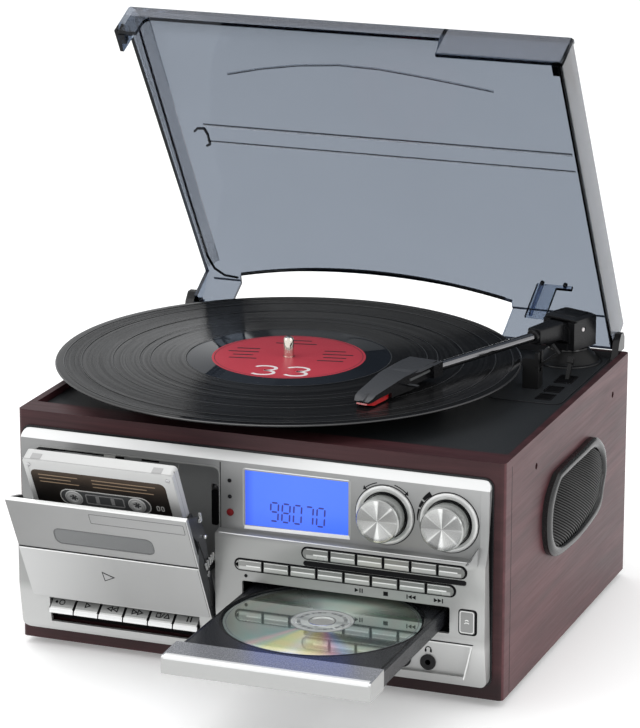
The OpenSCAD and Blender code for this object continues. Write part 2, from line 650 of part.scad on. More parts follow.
// toothed outline of n teeth over a full circle of pitch radius r
function tooth(r, n, i, ph) = let (a = 360/n)
  [for (k = [[-0.26, -0.75], [-0.13, 0.6], [0.13, 0.6], [0.26, -0.75]])
    (r + k[1])*[cos((i + k[0])*a + ph), sin((i + k[0])*a + ph)]];
module cassette_door() color("#b3b6b8") at() doored() difference() {
  union() {
    difference() {
      union() {
        // upper and lower face, a fine step between them
        span([dx0, door_f+0.5, 79], [dx1, door_f+2.9, 121]);
        span([dx0, door_f, 37], [dx1, door_f+2.9, 79.2]);
        // side walls
        for (x = [dx0, dx1-2.4])
          prism_x(x, x+2.4, [[door_f+2.4, 37.2], [-7, 31.5], [-5.2, 31.2], [-3.4, 34],
            [-0.7, 47.9], [0, 60], [2, 76.3], [5.9, 95.1], [4.5, 108.7], [door_f+2.4, 120.8]]);
        // floor and inner guides of the cassette pocket
        span([dx0+2, -10, 51.6], [128, 11.4, 53.2]);
        for (x = [22.2, 126.4]) span([x, -10.2, 53], [x+1.6, 10.6, 104]);
        // bars that tie the guides to the side walls
        span([dx0+2, -1, 103.6], [23.8, 3.4, 107.4]);
        span([126.4, -1, 103.6], [dx1-2, 3.4, 107.4]);
        // peg on the right-hand side wall
        cyl_x(dx1-0.5, dx1+1.4, 2.8, 93.2, 1.3);
      }
      // window
      plate_y(42.5, 108.5, 87.5, 99.5, -14, -9, 4);
      // slits in the side walls behind the face
      for (x = [dx0-1, dx1-3.4]) prism_x(x, x+4.4,
        [[-9.6, 106], [-6.4, 98], [-5.6, 92], [-8.6, 88.6], [-9.6, 88.6]]);
    }
    // window lens
    plate_y(41.5, 109.5, 86.5, 100.5, -10.4, -9.4, 4);
    // toothed sector for the damper
    translate([131.2, door_py, door_pz]) rotate([90, 0, 90]) linear_extrude(3.4) {
      difference() {
        circle(sec_r-0.9, $fn = 120);
        circle(sec_r-4.2, $fn = 120);
        // keep 35..86 degrees up from the horizontal, as seen closed
        polygon([[0, 0], 70*[cos(86), sin(86)], 70*[cos(120), sin(120)],
          70*[cos(180), sin(180)], 70*[cos(240), sin(240)],
          70*[cos(300), sin(300)], 70*[cos(340), sin(340)], 70*[cos(35), sin(35)]]);
      }
      for (i = [0:8]) polygon(tooth(sec_r, 68, i, 90 - pin_a - door_open - 180/68));
    }
  }
  // hinge bores
  cyl_x(dx0-1, dx0+3.4, door_py, door_pz, 1.55);
  cyl_x(dx1-3.4, dx1+1, door_py, door_pz, 1.55);
}
module damper_pinion() color("#6b6e70") at() {
  translate([131.3, pin_y, pin_z]) rotate([90, 0, 90]) difference() {
    union() {
      linear_extrude(3.2) {
        circle(4.1, $fn = 48);
        for (i = [0:9]) polygon(tooth(pin_r, 10, i, 270 - pin_a));
      }
      translate([0, 0, 3.1]) cylinder(h = 3.2, r = 2.1);
    }
    translate([0, 0, -1]) cylinder(h = 10, r = 1.05);
  }
}
tape_z = tape_z0 + tape_up;
module cassette() color("#e9e9ea") at() doored() difference() {
  union() {
    plate_y(tape_x, tape_x+100.4, tape_z, tape_z+63.8, 2.9, 11.6, 2.4);
    prism_y(1.3, 13.2, [[tape_x+17, tape_z+0.4], [tape_x+83.4, tape_z+0.4],
      [tape_x+80.4, tape_z+14.6], [tape_x+20, tape_z+14.6]]);
  }
  // hub holes
  for (x = [tape_x+28.95, tape_x+71.45]) cyl_y(0, 15, x, tape_z+34.5, 5.2);
  // window
  plate_y(tape_x+40.2, tape_x+60.2, tape_z+30.5, tape_z+38.5, 0, 15, 1);
  // locating holes and head openings along the lower edge
  for (x = [23.5, 33, 67.4, 76.9]) cyl_y(0, 15, tape_x+x, tape_z+6.5, 1.8);
  for (x = [27, 46, 65]) span([tape_x+x, 3.9, tape_z-1], [tape_x+x+9, 10.6, tape_z+4]);
}
module cassette_mechanism() color("#8e9194") at() {
  // cassette well, a tub behind the panel
  difference() {
    union() {
      span([12, -2.4, 34.2], [140.4, 16.5, 131.3]);
      prism_x(12, 140.4, [[-2.3, 38.2], [-9, 38.2], [-9.4, 40.4], [-9.4, 87.2], [-2.3, 88.7]]);
    }
    plate_y(13.9, 138.5, 20, 129.4, -10, 14.6, 4);
    // reel spindles, head and tape guide openings
    for (x = [tape_x+28.95, tape_x+71.45]) cyl_y(10, 20, x, hub_z, 4.5);
    span([60, 10, 54], [91, 20, 66]);
    // slots at the top and beside the cassette
    for (x = [36, 62, 104]) span([x, 10, 124.5], [x+16, 20, 127]);
    span([125.3, 10, 86], [136, 20, 112]);
    // room for the toothed sector and its pinion
    span([130, 10, 30], [137, 20, 78]);
  }
  // stud of the damper pinion
  cyl_x(130.8, 139, pin_y, pin_z, 1.0);
  // pillars between the well and the chassis
  for (p = [[24, 52], [24, 122], [118, 122], [118, 52]])
    cyl_y(16.2, 18.6, p[0], p[1], 3.5);
  // chassis behind the well
  difference() {
    span([18, 18.4, 46], [132, 20, 131]);
    span([129.6, 18, 30], [133, 21, 74]);
  }
  // reel spindles, flywheels, motor, head bridge
  for (x = [tape_x+28.95, tape_x+71.45]) {
    cyl_y(10.7, 18.5, x, hub_z, 2.5);
    cyl_y(19.9, 24, x, hub_z, 9);
  }
  cyl_y(24.6, 30, 75, 64, 17);
  cyl_y(19.9, 24.7, 75, 64, 2.4);
  cyl_y(19.9, 42, 112, 118, 11);
  span([62, 15.6, 56], [89, 18.5, 64]);
  // key axle in its two end plates
  cyl_x(19, 129.4, key_py, key_pz, 1.5);
  for (x = [19, 127.4]) prism_x(x, x+2.1, [[20, 22], [28.5, 22], [28.5, 34], [22.4, 48], [18.6, 48], [18.6, 33]]);
}
module key(i) color("#bfc2c4") at() difference() {
  x0 = 24.75 + i*17.02;
  prism_x(x0, x0+16.4, [[-5.2, 32], [-12.2, 26.4], [-12.9, 24.4], [-12.9, 23],
    [-11.4, 22.7], [20, 22.9], [22.4, 23.4], [26.8, 24], [27.6, 26.5], [26.4, 29],
    [24, 29.8], [14, 29.2], [-3.6, 32]]);
  cyl_x(x0-1, x0+18, key_py, key_pz, 1.56);
}

// --------------------------------------------------------------- disc tray
// the tray is drawn open
module disc_tray() color("#24262a") at() difference() {
  union() {
    span([160.6, -120, 49], [287.2, 26, 56]);
    // side rails
    span([160.6, -120, 46.4], [164, 26, 49.1]);
    span([283.4, -120, 46.4], [287.2, 26, 49.1]);
  }
  cyl_z(53.6, 60, disc_x, disc_y, disc_r+1.2);
  // small disc step
  cyl_z(52.4, 60, disc_x, disc_y, 41);
  // opening for the pickup and the disc motor
  cyl_z(40, 60, disc_x, disc_y, 17);
  span([disc_x-15, disc_y, 40], [disc_x+15, disc_y+56, 60]);
  // toothed rack side, relieved
  span([284.8, -110, 45], [288, 20, 47]);
}
module tray_front() color("#b4b7ba") at() difference() {
  union() {
    // block with a sloping top front edge
    prism_x(158.8, 289.2, [[-143, 47.6], [-143, 57.4], [-141.6, 58.6], [-120, 59.6],
      [-120, 47.2], [-142.4, 47]]);
  }
  // hollow behind
  span([161, -140.4, 40], [287, -122.4, 56.6]);
}
module compact_disc() color("#cfd6cf") at() difference() {
  translate([disc_x, disc_y, disc_z-0.4]) cylinder(h = 1.2, r = disc_r, $fn = 180);
  cyl_z(50, 60, disc_x, disc_y, 7.5);
}
module disc_mechanism() color("#5d6063") at() {
  difference() {
    // lower chassis, open for the pickup, with side guides
    union() {
      span([152, 3, 27], [296, 168, 42]);
      span([153, 13, 41.9], [159.6, 168, 62]);
      span([288.4, 13, 41.9], [295, 168, 62]);
      // clamp bridge over the tray
      span([153, 70, 61.8], [295, 104, 64]);
    }
    span([158, 12, 29], [290, 160, 43]);
    cyl_z(60, 66, disc_x, disc_y+tray_out, 8);
  }
  // disc motor and pickup sledge, lowered
  cyl_z(28.9, 36, disc_x, disc_y+tray_out, 12);
  cyl_z(35.9, 46, disc_x, disc_y+tray_out, 5);
  span([disc_x-20, disc_y+tray_out+16, 28.9], [disc_x+20, disc_y+tray_out+50, 34]);
  cyl_z(33.9, 42, disc_x, disc_y+tray_out+26, 4.5);
  // loading motor
  span([166, 16, 28.9], [186, 40, 41]);
  // legs to the floor
  for (x = [158, 290], y = [14, 162]) cyl_z(9, 27.1, x, y, 4);
  // clamp disc, free in the bridge
  cyl_z(57.6, 61.2, disc_x, disc_y+tray_out, 14);
  cyl_z(61.1, 66, disc_x, disc_y+tray_out, 7.4);
  cyl_z(64, 66, disc_x, disc_y+tray_out, 10.5);
}

cabinet();
feet();
rear_panel();
deck_plate();
front_panel();
display_module();
knob_rings();
circuit_boards();
speaker_grilles();
speaker_drivers();
turntable_motor();
drive_belt();
spindle();
hinge_brackets();
arm_base();
cassette_mechanism();
disc_mechanism();
sockets();
screws();
dust_cover();
platter();
record();
motor_pulley();
arm_yoke();
arm_tube();
headshell();
stylus();
cue_lever();
arm_clip();
autostop_switch();
speed_switch();
cassette_door();
cassette();
damper_pinion();
key(0);  // key_record
key(1);  // key_play
key(2);  // key_rewind
key(3);  // key_forward
key(4);  // key_stop
key(5);  // key_pause
disc_tray();
tray_front();
compact_disc();
tuning_knob();
volume_knob();
eject_button();
func_button(0);  // function_button_1
func_button(1);  // function_button_2
func_button(2);  // function_button_3
func_button(3);  // function_button_4
func_button(4);  // function_button_5
func_button(5);  // function_button_6
trans_button(0);  // transport_button_1
trans_button(1);  // transport_button_2
trans_button(2);  // transport_button_3
trans_button(3);  // transport_button_4
trans_button(4);  // transport_button_5
trans_button(5);  // transport_button_6
trans_button(6);  // transport_button_7
trans_button(7);  // transport_button_8
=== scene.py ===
"""Looks of the stereo music centre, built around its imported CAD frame.

Lengths in M(), P() and the builders are millimetres from the cabinet's front
left lower corner: X right, Y back, Z up. They are turned into the row frame's
metres, whose origin is the centre of the cabinet's underside.
"""
import math
import random

import bpy
import bmesh
from mathutils import Matrix, Vector


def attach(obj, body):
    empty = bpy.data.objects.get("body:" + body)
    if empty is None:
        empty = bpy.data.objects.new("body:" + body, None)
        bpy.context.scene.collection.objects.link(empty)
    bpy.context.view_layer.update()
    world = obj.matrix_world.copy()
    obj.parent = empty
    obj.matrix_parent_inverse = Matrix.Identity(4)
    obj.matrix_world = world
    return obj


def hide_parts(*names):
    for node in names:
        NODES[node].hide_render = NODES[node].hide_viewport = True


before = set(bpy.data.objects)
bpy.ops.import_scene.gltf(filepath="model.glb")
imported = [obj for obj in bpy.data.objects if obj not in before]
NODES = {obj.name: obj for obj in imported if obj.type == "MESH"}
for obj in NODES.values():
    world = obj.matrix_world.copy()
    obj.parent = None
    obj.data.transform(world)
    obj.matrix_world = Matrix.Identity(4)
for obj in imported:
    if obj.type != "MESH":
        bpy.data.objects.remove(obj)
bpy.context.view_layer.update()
random.seed(7)
rad = math.radians
CX, CY = 161.0, 131.0


def M(x, y, z):
    """Cabinet millimetres to row-frame metres."""
    return Vector(((x - CX) / 1000, (y - CY) / 1000, z / 1000))


# ------------------------------------------------------------------ camera
def make_camera():
    data = bpy.data.cameras.new("camera")
    cam = bpy.data.objects.new("camera", data)
    bpy.context.scene.collection.objects.link(cam)
    az, el, roll = rad(21.117), rad(16.088), rad(0.032)
    back = Vector((math.sin(az) * math.cos(el), -math.cos(az) * math.cos(el), math.sin(el)))
    cam.rotation_mode = "QUATERNION"
    q = (-back).to_track_quat("-Z", "Y")
    cam.rotation_quaternion = q @ Matrix.Rotation(-roll, 3, "Z").to_quaternion()
    cam.location = M(936.9, -1902.2, 791.1)
    data.sensor_fit = "AUTO"
    data.sensor_width = 36.0
    data.lens = 3515.4 / 728 * 36
    data.shift_x = (320 - 318.3) / 728
    data.shift_y = (361.2 - 364) / 728
    data.clip_start, data.clip_end = 0.05, 50
    bpy.context.scene.camera = cam
    return cam


make_camera()


# --------------------------------------------------------------- materials
def new_mat(name):
    m = bpy.data.materials.new(name)
    m.use_nodes = True
    nt = m.node_tree
    nt.nodes.clear()
    out = nt.nodes.new("ShaderNodeOutputMaterial")
    b = nt.nodes.new("ShaderNodeBsdfPrincipled")
    nt.links.new(b.outputs[0], out.inputs[0])
    return m, nt, b


def setp(b, **k):
    names = {
        "color": "Base Color", "rough": "Roughness", "metal": "Metallic", "ior": "IOR",
        "alpha": "Alpha", "coat": "Coat Weight", "coat_rough": "Coat Roughness",
        "spec": "Specular IOR Level", "aniso": "Anisotropic", "aniso_rot": "Anisotropic Rotation",
        "trans": "Transmission Weight", "sheen": "Sheen Weight", "emit": "Emission Color",
        "emit_s": "Emission Strength", "coat_ior": "Coat IOR", "sheen_rough": "Sheen Roughness",
        "tint": "Specular Tint",
    }
    for a, v in k.items():
        s = b.inputs[names[a]]
        if isinstance(v, (tuple, list)) and len(v) == 3:
            v = (*v, 1.0)
        s.default_value = v


def nd(nt, kind, **k):
    n = nt.nodes.new(kind)
    for a, v in k.items():
        setattr(n, a, v)
    return n


def coords(nt, scale=(1, 1, 1), loc=(0, 0, 0), rot=(0, 0, 0)):
    """Object coordinates, which travel with the piece, scaled and shifted."""
    t = nd(nt, "ShaderNodeTexCoord")
    mp = nd(nt, "ShaderNodeMapping")
    mp.inputs["Scale"].default_value = scale
    mp.inputs["Location"].default_value = loc
    mp.inputs["Rotation"].default_value = rot
    nt.links.new(t.outputs["Object"], mp.inputs[0])
    return mp.outputs[0]


def noise(nt, vec, scale, detail=4, rough=0.55, dist=0.0):
    n = nd(nt, "ShaderNodeTexNoise")
    n.inputs["Scale"].default_value = scale
    n.inputs["Detail"].default_value = detail
    n.inputs["Roughness"].default_value = rough
    n.inputs["Distortion"].default_value = dist
    nt.links.new(vec, n.inputs["Vector"])
    return n.outputs["Fac"]


def ramp(nt, fac, stops, mode="LINEAR"):
    r = nd(nt, "ShaderNodeValToRGB")
    r.color_ramp.interpolation = mode
    e = r.color_ramp.elements
    while len(e) < len(stops):
        e.new(0.5)
    for i, (p, c) in enumerate(stops):
        e[i].position = p
        e[i].color = (*c, 1) if len(c) == 3 else c
    nt.links.new(fac, r.inputs[0])
    return r.outputs[0]


def math_(nt, op, a, b=None, c=None, clamp=False):
    n = nd(nt, "ShaderNodeMath", operation=op, use_clamp=clamp)
    for i, v in enumerate((a, b, c)):
        if v is None:
            continue
        if isinstance(v, (int, float)):
            n.inputs[i].default_value = v
        else:
            nt.links.new(v, n.inputs[i])
    return n.outputs[0]


def maprange(nt, v, a, b, c, d):
    n = nd(nt, "ShaderNodeMapRange")
    nt.links.new(v, n.inputs[0])
    for i, x in enumerate((a, b, c, d)):
        n.inputs[i + 1].default_value = x
    return n.outputs[0]


def mix(nt, fac, a, b, blend="MIX"):
    n = nd(nt, "ShaderNodeMix", data_type="RGBA", blend_type=blend)
    for i, v in ((0, fac), (6, a), (7, b)):
        if isinstance(v, (int, float)):
            n.inputs[i].default_value = v
        elif isinstance(v, (tuple, list)):
            n.inputs[i].default_value = (*v, 1) if len(v) == 3 else v
        else:
            nt.links.new(v, n.inputs[i])
    return n.outputs[2]


def bump(nt, b, height, strength=0.2, dist=0.0004):
    n = nd(nt, "ShaderNodeBump")
    n.inputs["Strength"].default_value = strength
    n.inputs["Distance"].default_value = dist
    nt.links.new(height, n.inputs["Height"])
    nt.links.new(n.outputs[0], b.inputs["Normal"])


MATS = {}


def plastic(name, color, rough=0.4, var=0.12, grain=900, bump_s=0.08, metal=0.0, **k):
    """Moulded plastic or paint: slow tone change, fine grain in roughness and bump."""
    m, nt, b = new_mat(name)
    setp(b, color=color, rough=rough, metal=metal, **k)
    v = coords(nt)
    slow = noise(nt, v, 14, 3)
    c = mix(nt, slow, [x * (1 - var) for x in color], [min(1, x * (1 + var)) for x in color])
    nt.links.new(c, b.inputs["Base Color"])
    fine = noise(nt, v, grain, 2)
    rv = 0.05 if grain > 150 else 0.008
    nt.links.new(maprange(nt, fine, 0.3, 0.7, max(0.02, rough - rv), rough + rv), b.inputs["Roughness"])
    if bump_s:
        bump(nt, b, fine, bump_s, 0.0002)
    MATS[name] = m
    return m


def wood(name, along):
    """Dark reddish veneer with fine grain running along X or Y, under a satin lacquer. Along Y, on the sides, it is
    lightened as painted light; along X it carries a painted shadow low down towards the right.
    """
    m, nt, b = new_mat(name)
    s = {"x": (1.0, 14, 14), "y": (14, 1.0, 14)}[along]
    s2 = {"x": (4, 150, 150), "y": (150, 4, 150)}[along]
    g1 = noise(nt, coords(nt, s), 7, 7, 0.6, 0.5)
    g2 = noise(nt, coords(nt, s2), 5, 5, 0.7)
    slow = noise(nt, coords(nt), 9, 3)
    # painted light: the veneer along Y, on the sides, 1.85 times lighter
    k = 1.0 if along == "x" else 1.85
    c = ramp(nt, g1, [(0.25, (0.018 * k, 0.0050 * k, 0.0062 * k)), (0.48, (0.038 * k, 0.0105 * k, 0.0130 * k)),
                      (0.64, (0.058 * k, 0.019 * k, 0.022 * k)), (0.85, (0.030 * k, 0.0085 * k, 0.0105 * k))])
    c = mix(nt, maprange(nt, g2, 0.35, 0.75, 0.0, 0.5), c, (0.017 * k, 0.0062 * k, 0.0076 * k))
    c = mix(nt, maprange(nt, slow, 0.35, 0.7, 0.0, 0.35), c, (0.070 * k, 0.027 * k, 0.029 * k))
    if along == "x":
        t = nd(nt, "ShaderNodeTexCoord")
        sp = nd(nt, "ShaderNodeSeparateXYZ")
        nt.links.new(t.outputs["Object"], sp.inputs[0])
        # painted shadow: darker at the bottom of the front, more towards the right
        painted_shadow_low = maprange(nt, sp.outputs[2], 0.010, 0.020, 1.0, 0.0)
        painted_shadow_right = maprange(nt, sp.outputs[0], -0.02, 0.10, 0.0, 0.8)
        c = mix(nt, math_(nt, "MULTIPLY", painted_shadow_low, painted_shadow_right), c, (0.012, 0.0042, 0.0052))
    nt.links.new(c, b.inputs["Base Color"])
    setp(b, rough=0.45, spec=0.22, coat=0.18, coat_rough=0.38, coat_ior=1.4)
    nt.links.new(maprange(nt, g2, 0.3, 0.8, 0.40, 0.54), b.inputs["Roughness"])
    bump(nt, b, g2, 0.10, 0.0002)
    MATS[name] = m
    return m


def build_materials():
    wood("wood_x", "x")
    wood("wood_y_painted_light", "y")
    # painted light: bright copy of the silver paint for chamfers, edges, lips and the keys' fronts
    plastic("silver_painted_light", (0.80, 0.81, 0.81), 0.26, 0.02, 70, 0.0, metal=0.35)
    plastic("silver_tray", (0.42, 0.425, 0.42), 0.32, 0.02, 70, 0.0, metal=0.45)
    plastic("silver_button", (0.25, 0.254, 0.247), 0.28, 0.03, 70, 0.0, metal=0.5)
    # painted highlights on ribs, lips and edges, and the bright marks on the eject button
    plastic("silver_marks_and_painted_highlights", (0.88, 0.89, 0.88), 0.25, 0.02, 70, 0.0, metal=0.2)
    plastic("seat_silver", (0.62, 0.625, 0.62), 0.24, 0.02, 70, 0.0, metal=0.5)
    # painted shade: darker copy of the silver paint for the keys' sloping faces, also used for the eject button's front
    plastic("key_face_painted_shade", (0.27, 0.275, 0.27), 0.30, 0.03, 70, 0.0, metal=0.4)
    # painted light: lighter copy of the silver paint for the buttons' lower halves
    plastic("button_low_painted_light", (0.47, 0.475, 0.465), 0.28, 0.03, 70, 0.0, metal=0.4)
    plastic("frame_grey", (0.34, 0.345, 0.35), 0.30, 0.03, 70, 0.0, metal=0.3)
    plastic("door_window", (0.115, 0.120, 0.122), 0.16, 0.18, 900, 0.02, metal=0.2, coat=0.4, coat_rough=0.05)
    plastic("line_grey", (0.085, 0.088, 0.09), 0.45, 0.05, 900, 0.0)
    plastic("chrome", (0.86, 0.87, 0.88), 0.07, 0.03, 400, 0.0, metal=1.0)
    plastic("ring_chrome", (0.56, 0.57, 0.57), 0.20, 0.02, 60, 0.0, metal=0.9)
    plastic("knob_side", (0.42, 0.43, 0.42), 0.20, 0.03, 60, 0.0, metal=1.0)
    plastic("steel", (0.55, 0.55, 0.56), 0.30, 0.08, 900, 0.04, metal=1.0)
    plastic("tube_metal", (0.26, 0.26, 0.27), 0.15, 0.04, 200, 0.0, metal=1.0)
    plastic("aluminium", (0.72, 0.73, 0.74), 0.24, 0.04, 900, 0.03, metal=1.0)
    plastic("brass", (0.75, 0.58, 0.28), 0.25, 0.06, 700, 0.03, metal=1.0)
    plastic("spindle_metal", (0.80, 0.74, 0.66), 0.10, 0.06, 700, 0.02, metal=1.0)
    plastic("deck_black", (0.020, 0.022, 0.024), 0.40, 0.12, 2600, 0.32, spec=0.22)
    plastic("black", (0.0085, 0.0088, 0.010), 0.30, 0.10, 1800, 0.10, spec=0.30)
    plastic("black_gloss", (0.006, 0.006, 0.007), 0.16, 0.08, 700, 0.02, spec=0.35)
    plastic("void_black", (0.0022, 0.0022, 0.0026), 0.60, 0.10, 700, 0.02, spec=0.08)
    plastic("dark_grey", (0.030, 0.031, 0.034), 0.34, 0.10, 1500, 0.08, spec=0.4)
    plastic("well_grey", (0.24, 0.245, 0.245), 0.34, 0.05, 70, 0.0, metal=0.35)
    plastic("tray_black", (0.016, 0.017, 0.020), 0.26, 0.08, 1500, 0.06, spec=0.35)
    plastic("rubber", (0.014, 0.014, 0.014), 0.75, 0.12, 1100, 0.25, spec=0.2)
    plastic("red_clear", (0.46, 0.010, 0.012), 0.16, 0.10, 500, 0.02, coat=0.6, coat_rough=0.05)
    plastic("led_red", (0.13, 0.004, 0.006), 0.55, 0.10, 60, 0.0, spec=0.15)
    plastic("base_black", (0.007, 0.0072, 0.0076), 0.42, 0.10, 60, 0.0, spec=0.25)
    plastic("groove_wood", (0.014, 0.0055, 0.0065), 0.5, 0.1, 60, 0.0, spec=0.2)
    plastic("board", (0.028, 0.14, 0.066), 0.45, 0.15, 700, 0.10)
    plastic("hardboard", (0.022, 0.018, 0.017), 0.70, 0.20, 500, 0.35, spec=0.2)
    plastic("cone", (0.030, 0.028, 0.026), 0.80, 0.20, 800, 0.35)
    plastic("white_plastic", (0.55, 0.555, 0.55), 0.34, 0.03, 1200, 0.0)
    plastic("bezel_white", (0.86, 0.87, 0.87), 0.25, 0.02, 70, 0.0, metal=0.1)
    plastic("hub_white", (0.62, 0.62, 0.60), 0.30, 0.03, 1200, 0.03)
    plastic("tab_grey", (0.36, 0.36, 0.36), 0.40, 0.03, 1200, 0.03)
    plastic("tape_dark", (0.010, 0.009, 0.009), 0.25, 0.10, 900, 0.02)
    plastic("print_tan", (0.26, 0.185, 0.12), 0.50, 0.05, 900, 0.0)
    plastic("print_white", (0.78, 0.74, 0.74), 0.45, 0.03, 900, 0.0)
    plastic("print_black", (0.020, 0.014, 0.016), 0.50, 0.05, 900, 0.0)
    plastic("mesh_bar", (0.017, 0.017, 0.0165), 0.48, 0.08, 1500, 0.06, metal=0.0, spec=0.2)
    plastic("grille_frame", (0.010, 0.0105, 0.011), 0.24, 0.08, 1500, 0.06, spec=0.5)
    plastic("screw_black", (0.030, 0.030, 0.032), 0.35, 0.05, 900, 0.05, metal=0.8)
    plastic("platter_black", (0.016, 0.017, 0.019), 0.50, 0.10, 1500, 0.15, spec=0.2)
    plastic("tray_top", (0.30, 0.31, 0.335), 0.26, 0.02, 1600, 0.03, metal=0.5)
    # painted highlight on the record's rim bead, painted sheen on its raised rings
    plastic("vinyl_rim_painted_highlight", (0.030, 0.030, 0.031), 0.16, 0.05, 60, 0.0, spec=0.6)
    plastic("vinyl_line_painted_sheen", (0.024, 0.0245, 0.025), 0.30, 0.05, 60, 0.0, spec=0.6)
    plastic("ink", (0.006, 0.006, 0.007), 0.55, 0.05, 900, 0.0, spec=0.1)
    # painted light: lighter grey for the headshell's top faces
    plastic("head_top_painted_light", (0.040, 0.042, 0.046), 0.38, 0.08, 600, 0.03, spec=0.4)
    plastic("lcd_ink", (0.016, 0.020, 0.16), 0.50, 0.05, 900, 0.0, emit=(0.035, 0.04, 0.36), emit_s=0.38)
    # fascia: satin metallic paint; its tone, stepping with the face it is on, is painted light and shade: the lower
    # face lit, the upper face shaded, a painted highlight on the top chamfer
    m, nt, b = new_mat("silver")
    t = nd(nt, "ShaderNodeTexCoord")
    sp = nd(nt, "ShaderNodeSeparateXYZ")
    nt.links.new(t.outputs["Object"], sp.inputs[0])
    g = ramp(nt, maprange(nt, sp.outputs[2], 0.009, 0.140, 0.0, 1.0), [
        (0.00, (0.52, 0.525, 0.52)), (0.03, (0.52, 0.525, 0.52)), (0.06, (0.50, 0.505, 0.50)),
        (0.20, (0.47, 0.475, 0.47)), (0.25, (0.325, 0.33, 0.325)),
        (0.60, (0.30, 0.305, 0.30)), (0.625, (0.235, 0.238, 0.238)), (0.80, (0.215, 0.218, 0.218)),
        (0.96, (0.26, 0.263, 0.263)), (1.00, (0.80, 0.81, 0.81))])
    # painted light: the fascia lighter towards its right-hand end
    painted_light_x = ramp(nt, maprange(nt, sp.outputs[0], -0.021, 0.153, 0.0, 1.0), [
        (0.0, (0.66, 0.66, 0.66)), (0.30, (0.68, 0.68, 0.68)), (0.70, (0.82, 0.82, 0.82)), (1.0, (1.0, 1.0, 1.0))])
    g = mix(nt, 1.0, g, (1.5, 1.5, 1.5), "MULTIPLY")
    slow = noise(nt, coords(nt), 18, 3)
    c = mix(nt, 1.0, g, painted_light_x, "MULTIPLY")
    c = mix(nt, maprange(nt, slow, 0.3, 0.7, 0.0, 0.12), c, (0.42, 0.425, 0.42))
    # painted shade: darker low down towards the right
    painted_shade_low_right = math_(nt, "MULTIPLY", maprange(nt, sp.outputs[2], 0.012, 0.034, 1.0, 0.0), maprange(nt, sp.outputs[0], 0.04, 0.13, 0.0, 0.6))
    c = mix(nt, painted_shade_low_right, c, (0.26, 0.262, 0.26))
    nt.links.new(c, b.inputs["Base Color"])
    setp(b, metal=0.5)
    fine = noise(nt, coords(nt), 60, 2)
    nt.links.new(maprange(nt, fine, 0.3, 0.7, 0.29, 0.34), b.inputs["Roughness"])
    MATS["silver"] = m
    # door faces: same paint, a painted-shade copy for the upper face and a painted-light copy for the lower, its tone
    # drifting across the width as painted light and shade
    for nm, stops in (("door_upper_painted_shade", [(0.0, 0.21), (0.45, 0.27), (1.0, 0.36)]),
                      ("door_lower_painted_light", [(0.0, 0.50), (0.22, 0.44), (0.52, 0.345), (0.8, 0.37), (1.0, 0.42)])):
        m, nt, b = new_mat(nm)
        t = nd(nt, "ShaderNodeTexCoord")
        sp = nd(nt, "ShaderNodeSeparateXYZ")
        nt.links.new(t.outputs["Object"], sp.inputs[0])
        g = ramp(nt, maprange(nt, sp.outputs[0], (14 - CX) / 1000, (137 - CX) / 1000, 0, 1),
                 [(p_, (q, q * 1.01, q * 1.005)) for p_, q in stops])
        g = mix(nt, maprange(nt, noise(nt, coords(nt), 20, 3), 0.3, 0.7, 0.0, 0.10), g, (0.5, 0.505, 0.5))
        nt.links.new(g, b.inputs["Base Color"])
        setp(b, metal=0.45)
        fine = noise(nt, coords(nt), 60, 2)
        nt.links.new(maprange(nt, fine, 0.3, 0.7, 0.29, 0.34), b.inputs["Roughness"])
        MATS[nm] = m
    # smoked clear cover: each of a wall's two faces passes part of the light
    for nm, tint, ior in (("smoke", (0.485, 0.515, 0.558), 1.13), ("smoke_edge", (0.030, 0.036, 0.050), 1.3),
                          ("smoke_rib", (0.50, 0.56, 0.68), 1.3), ("smoke_plate", (0.74, 0.78, 0.84), 1.15)):
        m = bpy.data.materials.new(nm)
        m.use_nodes = True
        nt = m.node_tree
        nt.nodes.clear()
        out = nd(nt, "ShaderNodeOutputMaterial")
        tr = nd(nt, "ShaderNodeBsdfTransparent")
        gl = nd(nt, "ShaderNodeBsdfGlossy")
        mx = nd(nt, "ShaderNodeMixShader")
        fr = nd(nt, "ShaderNodeFresnel")
        fr.inputs["IOR"].default_value = ior
        v = coords(nt)
        n = noise(nt, v, 6, 2)
        lo = tuple(x * 0.94 for x in tint)
        nt.links.new(mix(nt, n, lo, tint), tr.inputs["Color"])
        gl.inputs["Color"].default_value = (0.85, 0.88, 0.92, 1)
        nt.links.new(maprange(nt, noise(nt, v, 400, 2), 0.3, 0.7, 0.02, 0.05), gl.inputs["Roughness"])
        nt.links.new(fr.outputs[0], mx.inputs[0])
        nt.links.new(tr.outputs[0], mx.inputs[1])
        nt.links.new(gl.outputs[0], mx.inputs[2])
        nt.links.new(mx.outputs[0], out.inputs[0])
        MATS[nm] = m
    # see-through sheets of painted light and shade on the cover: painted highlights, painted shade lines and a painted
    # shade band along its ribs, arc and corners, a pale film of painted light, and a grey film on the right wall
    for nm, col, al in (("smoke_painted_highlight", (0.50, 0.54, 0.60), 0.38), ("smoke_painted_shade_line", (0.02, 0.024, 0.035), 0.70),
                        ("smoke_painted_shade_band", (0.10, 0.10, 0.13), 0.22),
                        ("smoke_painted_light", (0.40, 0.43, 0.50), 0.15),
                        ("smoke_side", (0.25, 0.25, 0.255), 0.50)):
        m, nt, b = new_mat(nm)
        v = coords(nt)
        nt.links.new(mix(nt, noise(nt, v, 60, 2), tuple(q * 0.92 for q in col), col), b.inputs["Base Color"])
        setp(b, rough=0.2, alpha=al)
        nt.links.new(maprange(nt, noise(nt, v, 500, 2), 0.3, 0.7, 0.15, 0.25), b.inputs["Roughness"])
        MATS[nm] = m
